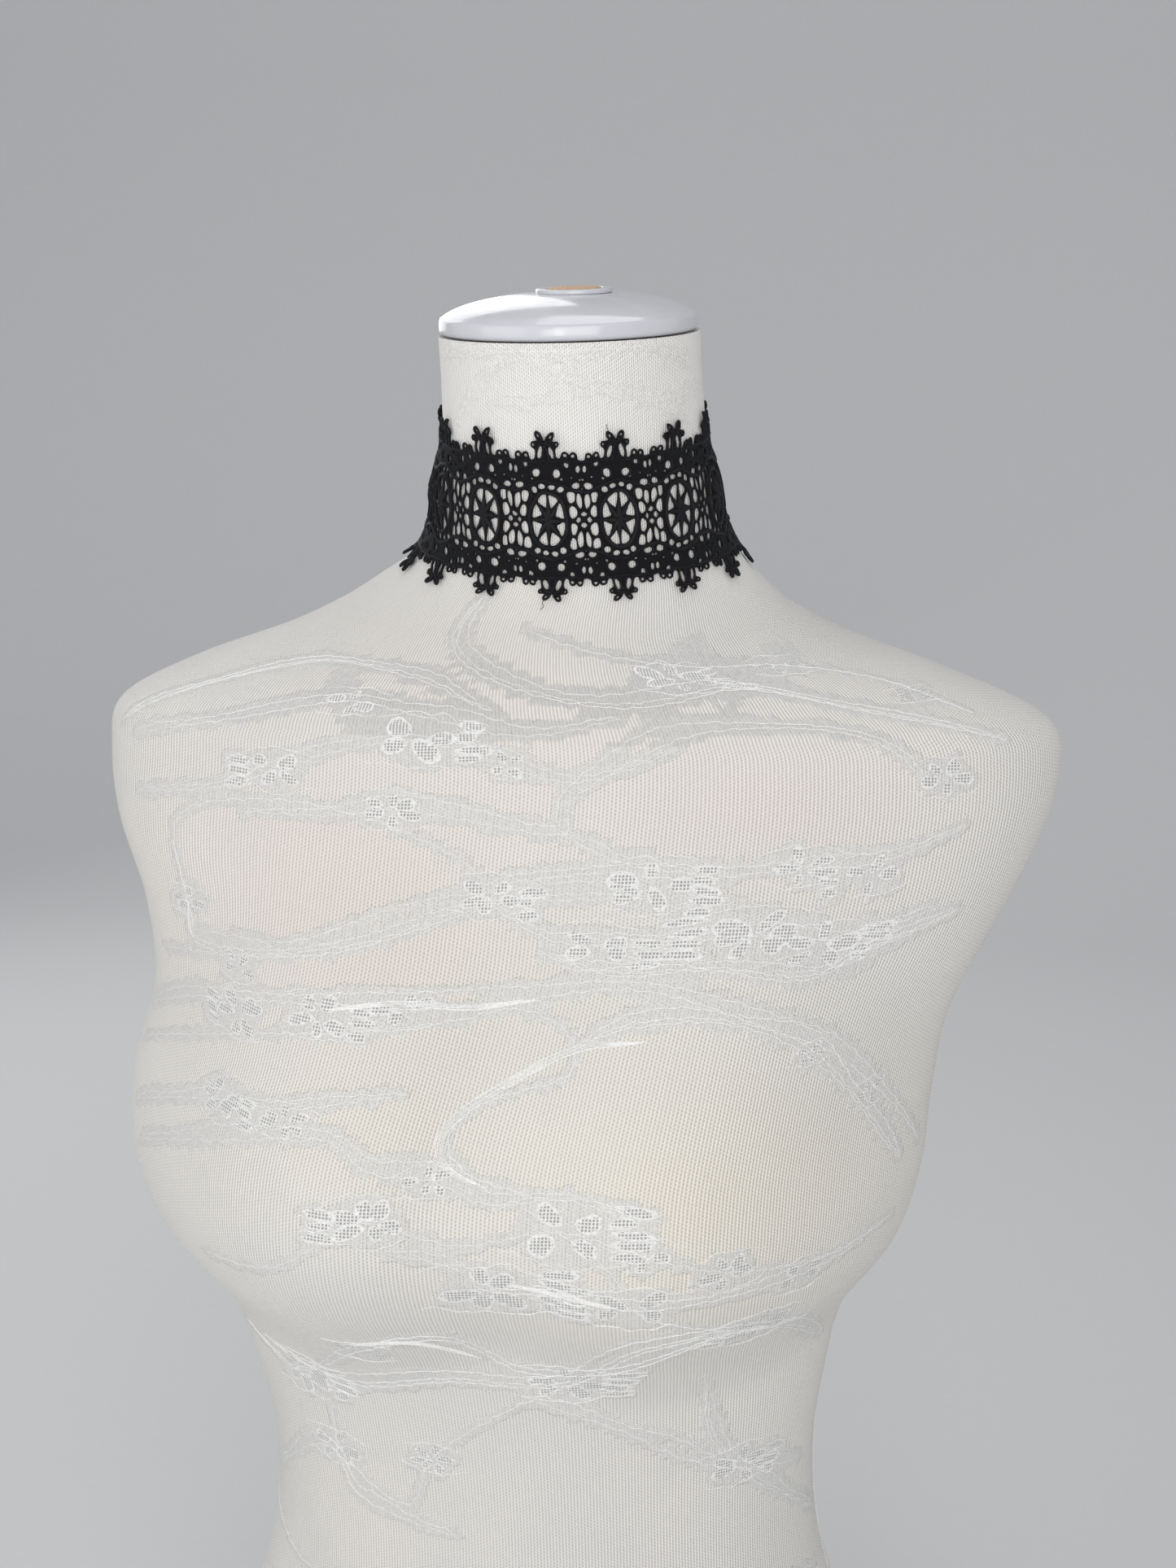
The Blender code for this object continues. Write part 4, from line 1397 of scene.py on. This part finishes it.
def inner_points(holes, edge):
    """Points in the cloth of one repeat, a little in from each edge and in rows between."""
    marks = np.concatenate(holes + [edge])
    rings = []
    for loop in holes + [edge]:
        side = square_to(np.roll(loop, -1, axis=0) - np.roll(loop, 1, axis=0))
        rings += [loop + side * BESIDE_EDGE, loop - side * BESIDE_EDGE]
    rows = np.mgrid[-14.1:14.2:FILL_STEP, -34.5:34.6:FILL_STEP].reshape(2, -1).T
    rows = rows + 0.12 * np.sin(rows[:, ::-1] * 9.0)
    near = np.concatenate(rings)
    near = near[off_lines(near, marks) > 0.27]
    rows = rows[off_lines(rows, marks) > 0.60]
    return np.concatenate([near, rows])


def whole_edge(first, last):
    """The edge all round several repeats."""
    upper = upper_edge(first, last)
    return np.concatenate([upper, upper[::-1] * np.array((1, -1))])


def lace_plate():
    """The band, charted flat: its outlines, then its inner points."""
    ring = whole_edge(REPEATED.start, REPEATED.stop)
    holes = repeat_holes()
    outlines = [ring]
    inner = inner_points(holes, whole_edge(0, 1) - np.array((0.5 * CHART_PITCH, 0)))
    points = []
    for repeat in REPEATED:
        middle = np.array(((repeat + 0.5) * CHART_PITCH, 0))
        for hole in holes:
            place = hole + middle
            if np.abs(place[:, 0]).max() < LACE_END - 0.4:
                outlines.append(place)
        points.append(inner + middle)
    points = np.concatenate(points)
    points = points[np.abs(points[:, 0]) < LACE_END - 0.3]
    keep = inside_loop(points, ring)
    for line in outlines[1:]:
        low, high = line.min(axis=0), line.max(axis=0)
        close = np.flatnonzero(((points > low) & (points < high)).all(axis=1))
        keep[close[inside_loop(points[close], line)]] = False
    return outlines, points[keep]


def make_lace_mesh(half_thick):
    """Threads rounded on both faces: thin at every edge and full in the middle of a strand."""
    outlines, inner = lace_plate()
    vectors, loops = [], []
    for line in outlines:
        loops.append(list(range(len(vectors), len(vectors) + len(line))))
        vectors += [Vector(point) for point in line]
    vectors += [Vector(point) for point in inner]
    filled = delaunay_2d_cdt(vectors, [], loops, 2, 1e-6)
    flat = np.array(filled[0])
    marks = [(x, y, 0) for x, y in np.concatenate(outlines)]
    off = off_marks([(x, y, 0) for x, y in flat], marks)
    rounding = np.minimum(off / THREAD_ROUND, 1)
    swell = np.sqrt(np.maximum(1 - (1 - rounding) ** 2, 0)) * half_thick / MM
    lift = lace_lift(*flat.T)
    bm = bmesh.new()
    layer = bm.loops.layers.uv.new("chart")
    sides = []
    for way in (1, -1):
        places = on_neck(*settled(*flat.T), lift + way * swell)
        sides.append([bm.verts.new(place) for place in places])
    for triangle in filled[2]:
        for corners, verts in zip((triangle, triangle[::-1]), sides):
            face = bm.faces.new([verts[i] for i in corners])
            for loop, i in zip(face.loops, corners):
                loop[layer].uv = flat[i] * MM
    bmesh.ops.remove_doubles(bm, verts=bm.verts, dist=1e-6)
    return mesh_of("guipure_band", bm)


def star_spoke(turn):
    """A leaf-shaped spoke from the hub to the ring: its line and its radii."""
    share = np.array([0.02, 0.14, 0.28, 0.42, 0.58, 0.76, 0.94])
    line = np.stack([RING[0] * share * math.cos(turn), RING[1] * share * math.sin(turn)], axis=1)
    return line, np.array([0.90, 1.25, 1.20, 0.95, 0.62, 0.42, 0.42])


def quarter_cords():
    """The cords of a quarter of one repeat: a line, its radius and if it is closed."""
    x = np.linspace(0, 14.15, 15)
    scallop = np.stack([x, 12.85 + 2.05 * np.cos(2 * math.pi * x / CHART_PITCH)], axis=1)
    hem = np.stack([x, 22.0 + 0.15 * np.cos(x)], axis=1)
    cords = [(scallop, 0.78, False), (hem, 0.50, False)]
    bars = [
        [(3.65, 10.2), (3.9, 13.9)], [(6.6, 8.6), (7.6, 12.9)],
        [(10.9, 6.6), (11.05, 11.0)], [(8.2, 5.6), (9.6, 6.2), (10.9, 6.6)],
        [(10.9, 6.6), (12.1, 4.2), (12.4, 2.1)], [(14.15, 3.6), (14.15, 10.6)],
        [(8.3, 0.0), (10.9, 0.0)], [(14.15, 3.6), (12.3, 2.0), (10.8, 0.0)],
        [(12.4, 2.1), (14.15, 0.0)],
    ]
    cords += [(through(bar, steps=3), 0.29, False) for bar in bars]
    cords += [
        (through([(3.9, 22.2), (3.9, 24.6), (3.1, 27.0), (1.7, 28.4), (0.0, 28.8)]), 0.50, False),
        (through([(1.3, 22.4), (1.25, 24.4), (0.7, 26.6), (0.0, 28.0)], steps=4), 0.40, False),
        (through([(0.9, 29.6), (1.6, 31.0), (2.7, 32.0), (3.4, 31.8), (3.2, 30.5), (2.2, 29.2)],
                 True, 3), 0.52, True),
        (through([(4.0, 28.0), (4.9, 28.9), (5.6, 28.1), (5.0, 27.2)], True, 3), 0.42, True),
    ]
    for x in (8.0, 11.1):
        loop = [(x - 1.15, 23.8), (x - 0.8, 24.8), (x, 25.15), (x + 0.8, 24.8), (x + 1.15, 23.8),
                (x + 0.8, 22.8), (x, 22.6), (x - 0.8, 22.8)]
        cords.append((np.array(loop), 0.40, True))
    cords += [
        (oval(4.0, 17.7, 2.1, 2.05, 0, 16), 0.42, True),
        (oval(8.35, 20.9, 1.45, 1.45, 0, 12), 0.36, True),
        (oval(11.55, 12.9, 2.1, 1.65, 0.1, 14), 0.38, True),
    ]
    return cords


# Ends of thread that have come loose at two of the crowns
LOOSE_RADIUS = 0.13
LOOSE_ENDS = [
    [(-17.2, -31.9), (-17.9, -33.8), (-17.5, -35.4), (-18.3, -37.0)],
    [(11.9, 31.6), (11.0, 33.2), (10.8, 34.6)],
]


def all_cording():
    """Every cord of the band on its chart, over all repeats."""
    flat = []
    for repeat in REPEATED:
        middle = np.array(((repeat + 0.5) * CHART_PITCH, 0))
        flat.append((oval(0, 0, *RING, 0, 44) + middle, RING_HALF, True))
        for turn in SPOKES:
            line, radii = star_spoke(turn)
            flat.append((line + middle, radii, False))
        for line, radius, closed in quarter_cords():
            flat += [(quarter + middle, radius, closed) for quarter in mirrored(line)]
    flat += [(through(line), LOOSE_RADIUS, False) for line in LOOSE_ENDS]
    return flat


class CHOKER_OT_lace(bpy.types.Operator):
    """Makes the lace band and the raised cords on it"""

    bl_idname = "choker.lace"
    bl_label = "Lace band"

    def execute(self, context):
        settings = context.scene.choker_lace
        cords = []
        for line, radii, closed in all_cording():
            if abs(line[:, 0]).max() > LACE_END + 0.2:
                continue
            lift = lace_lift(*line.T) + 0.30
            places = on_neck(*settled(*line.T), lift)
            cords.append((places, radii * MM, closed))
        cording = add_piece(cord_mesh("lace_cording", cords), cording_finish(settings))
        band = add_piece(
            make_lace_mesh(settings.half_thick), thread_finish(settings),
            ["lace_left", "lace_right"], math.radians(80),
        )
        flat = (REPEATS * CHART_PITCH * MM, 2 * CROWN_TOP * MM)
        LACE_CLOTH * flat[0] * flat[1]
        return {"FINISHED"}


# The closure


def end_of_lace(side):
    """The end of a half at the row of the links, with its directions: onward, up and out."""
    end = side * LACE_END
    lift = END_LIFT + 0.6
    spots = on_neck([end, end - side, end], [LINK_ROW, LINK_ROW, LINK_ROW + 1], lift)
    here, before, above = (Vector(spot) for spot in spots)
    onward = (here - before).normalized()
    outward = (onward.cross((above - here).normalized()) * side).normalized()
    return here, onward, outward.cross(onward).normalized() * side, outward


def link_line(side):
    """The wire ring through the end of a half: its points, and the place of its far side."""
    here, onward, upward, outward = end_of_lace(side)
    centre = here + onward * (LINK_RADIUS - LINK_IN) * MM
    slant = outward * math.cos(LINK_TILT) + upward * math.sin(LINK_TILT)
    points = []
    for k in range(49):
        turn = 0.05 + (2 * math.pi - 0.1) * k / 48
        away = onward * -math.sin(turn) + slant * math.cos(turn)
        points.append(centre + away * LINK_RADIUS * MM)
    return np.array(points), centre + onward * LINK_RADIUS * MM, upward


def clasp_lines(eye, hook, upward):
    """The clasp: an eye, a neck, an oval snap, its rivet and its thumb lever, as bent bars."""
    along = (hook - eye).normalized()
    outward = along.cross(upward).normalized()
    if outward.y < 0:
        outward = -outward
    upward = outward.cross(along)
    middle = (hook - eye).length / MM - 2.5

    def laid(flat, radii, closed):
        points = [eye + (along * x + upward * y + outward * z) * MM for x, y, z in flat]
        return np.array(points), np.broadcast_to(radii, len(flat)) * MM, closed

    turns = np.linspace(0, 2 * math.pi, 40, endpoint=False)
    small = [(2.22 * math.cos(a), 2.22 * math.sin(a), 0) for a in turns[::2]]
    large = [(middle + 4.65 * math.cos(a), 3.65 * math.sin(a), 0) for a in turns]
    neck_end = middle - 4.4
    neck = [(x, 0, 0) for x in np.linspace(2.1, neck_end, 6)]
    lever = [(middle - 2.2, 3.4, 0), (middle - 2.7, 4.1, 0.1), (middle - 3.3, 4.7, 0.15)]
    return [
        laid(small, 0.60, True),
        laid(large, 0.70 - 0.22 * np.cos(turns), True),
        laid(neck, [0.85, 1.05, 0.95, 0.95, 1.15, 1.05], False),
        laid([(neck_end, 0, z) for z in (-1.25, -1.1, 1.1, 1.25)], [0.4, 0.6, 0.6, 0.4], False),
        laid(lever, [0.5, 0.6, 0.8], False),
    ]


class CHOKER_OT_closure(bpy.types.Operator):
    """Makes the wire rings and the clasp that close the choker"""

    bl_idname = "choker.closure"
    bl_label = "Rings and clasp"

    def execute(self, context):
        metal = metal_finish(context.scene.choker_fittings)
        ends = {}
        for side, name, node in ((-1, "wire_ring_left", "ring_left"),
                                 (1, "wire_ring_right", "ring_right")):
            points, far, upward = link_line(side)
            ends[side] = (far, upward)
            mesh = cord_mesh(name, [(points, LINK_WIRE * MM, False)], 4)
            add_piece(mesh, metal, [node])
        (eye, up_here), (hook, up_there) = ends[-1], ends[1]
        mesh = cord_mesh("snap_clasp", clasp_lines(eye, hook, up_here + up_there), 4)
        add_piece(mesh, metal, ["clasp"])
        return {"FINISHED"}


# The studio, in metres

PAPER_FRONT = -3.5
PAPER_BACK = 1.4
PAPER_CURVE = 0.9
PAPER_TOP = 4.5
PAPER_HALF = 4.0
PAPER_BELOW = 0.0005
# Each light's place, size, share of the key light's power, and the height it is aimed at
SOFTBOXES = [
    ("key_softbox", (0.45, -1.75, 0.85), 1.3, 1.0, 0.45),
    ("fill_softbox", (-1.4, -1.1, 0.8), 1.4, 0.5, 0.45),
    ("top_softbox", (0.1, 0.5, 2.2), 1.0, 0.4, 0.45),
    ("neck_softbox", (-0.1, -1.0, 0.62), 0.35, 0.075, 0.64),
    ("back_softbox", (-0.7, 1.2, 1.0), 1.0, 0.35, 0.45),
]


class CHOKER_OT_studio(bpy.types.Operator):
    """Makes the paper backdrop, the soft lights and the camera"""

    bl_idname = "choker.studio"
    bl_label = "Studio"

    def execute(self, context):
        settings = context.scene.choker_studio
        scene = context.scene
        bm = bmesh.new()
        line = [(PAPER_FRONT, 0), (PAPER_BACK, 0)]
        line += [(PAPER_BACK + PAPER_CURVE * math.sin(a), PAPER_CURVE - PAPER_CURVE * math.cos(a))
                 for a in np.linspace(0.1, math.pi / 2, 12)]
        line.append((PAPER_BACK + PAPER_CURVE, PAPER_TOP))
        verts = [bm.verts.new((-PAPER_HALF, y, z - PAPER_BELOW)) for y, z in line]
        edges = [bm.edges.new(pair) for pair in zip(verts, verts[1:])]
        swept = bmesh.ops.extrude_edge_only(bm, edges=edges)
        moved = [v for v in swept["geom"] if isinstance(v, bmesh.types.BMVert)]
        bmesh.ops.translate(bm, verts=moved, vec=(2 * PAPER_HALF, 0, 0))
        bmesh.ops.recalc_face_normals(bm, faces=bm.faces)
        mesh = mesh_of("paper_backdrop", bm)
        mesh.materials.append(paper_finish(settings))
        mesh.shade_smooth()
        paper = bpy.data.objects.new("paper_backdrop", mesh)
        scene.collection.objects.link(paper)
        for name, place, size, share, aim in SOFTBOXES:
            data = bpy.data.lights.new(name, "AREA")
            data.size = size
            data.energy = settings.key * share
            self.hang(name, data, Vector(place), Vector((0, 0, aim)) - Vector(place))
        world = bpy.data.worlds.new("soft_daylight")
        world.use_nodes = True
        sky = world.node_tree.nodes["Background"].inputs
        sky["Color"].default_value = (0.95, 0.97, 1.0, 1)
        sky["Strength"].default_value = 0.60
        scene.world = world
        scene.view_settings.view_transform = "Standard"
        camera = bpy.data.cameras.new("studio_camera")
        camera.sensor_width = 36
        camera.lens = settings.lens
        ahead = Vector((
            -math.sin(EYE_TURN) * math.cos(EYE_DOWN),
            math.cos(EYE_TURN) * math.cos(EYE_DOWN),
            -math.sin(EYE_DOWN),
        ))
        scene.camera = self.hang("studio_camera", camera, EYE, ahead)
        return {"FINISHED"}

    def hang(self, name, data, place, ahead):
        """Puts a light or camera at a place, looking ahead."""
        made = bpy.data.objects.new(name, data)
        made.location = place
        made.rotation_euler = ahead.to_track_quat("-Z", "Y").to_euler()
        bpy.context.scene.collection.objects.link(made)
        return made


class CHOKER_PT_panel(bpy.types.Panel):
    """Lists what makes the choker, the form and the studio"""

    bl_idname = "CHOKER_PT_panel"
    bl_label = "Lace choker"
    bl_space_type = "VIEW_3D"
    bl_region_type = "UI"
    bl_category = "Choker"

    def draw(self, context):
        for group in ("choker_cover", "choker_lace", "choker_fittings", "choker_studio"):
            settings = getattr(context.scene, group)
            box = self.layout.box()
            for name in settings.bl_rna.properties.keys():
                if name not in ("rna_type", "name"):
                    box.prop(settings, name)
        for operator in OPERATORS:
            self.layout.operator(operator.bl_idname)


GROUPS = {
    "choker_cover": CoverSettings,
    "choker_lace": LaceSettings,
    "choker_fittings": FittingSettings,
    "choker_studio": StudioSettings,
}
OPERATORS = [
    CHOKER_OT_cover, CHOKER_OT_vines, CHOKER_OT_petals, CHOKER_OT_foot, CHOKER_OT_cap,
    CHOKER_OT_lace, CHOKER_OT_closure, CHOKER_OT_studio,
]


def register():
    for made in [*GROUPS.values(), *OPERATORS, CHOKER_PT_panel]:
        bpy.utils.register_class(made)
    for name, group in GROUPS.items():
        setattr(bpy.types.Scene, name, bpy.props.PointerProperty(type=group))


def unregister():
    for name in GROUPS:
        delattr(bpy.types.Scene, name)
    for made in reversed([*GROUPS.values(), *OPERATORS, CHOKER_PT_panel]):
        bpy.utils.unregister_class(made)


def main():
    register()
    bpy.ops.choker.cover()
    bpy.ops.choker.vines()
    bpy.ops.choker.petals()
    bpy.ops.choker.foot()
    bpy.ops.choker.cap()
    bpy.ops.choker.lace()
    bpy.ops.choker.closure()
    bpy.ops.choker.studio()


if __name__ == "__main__":
    main()
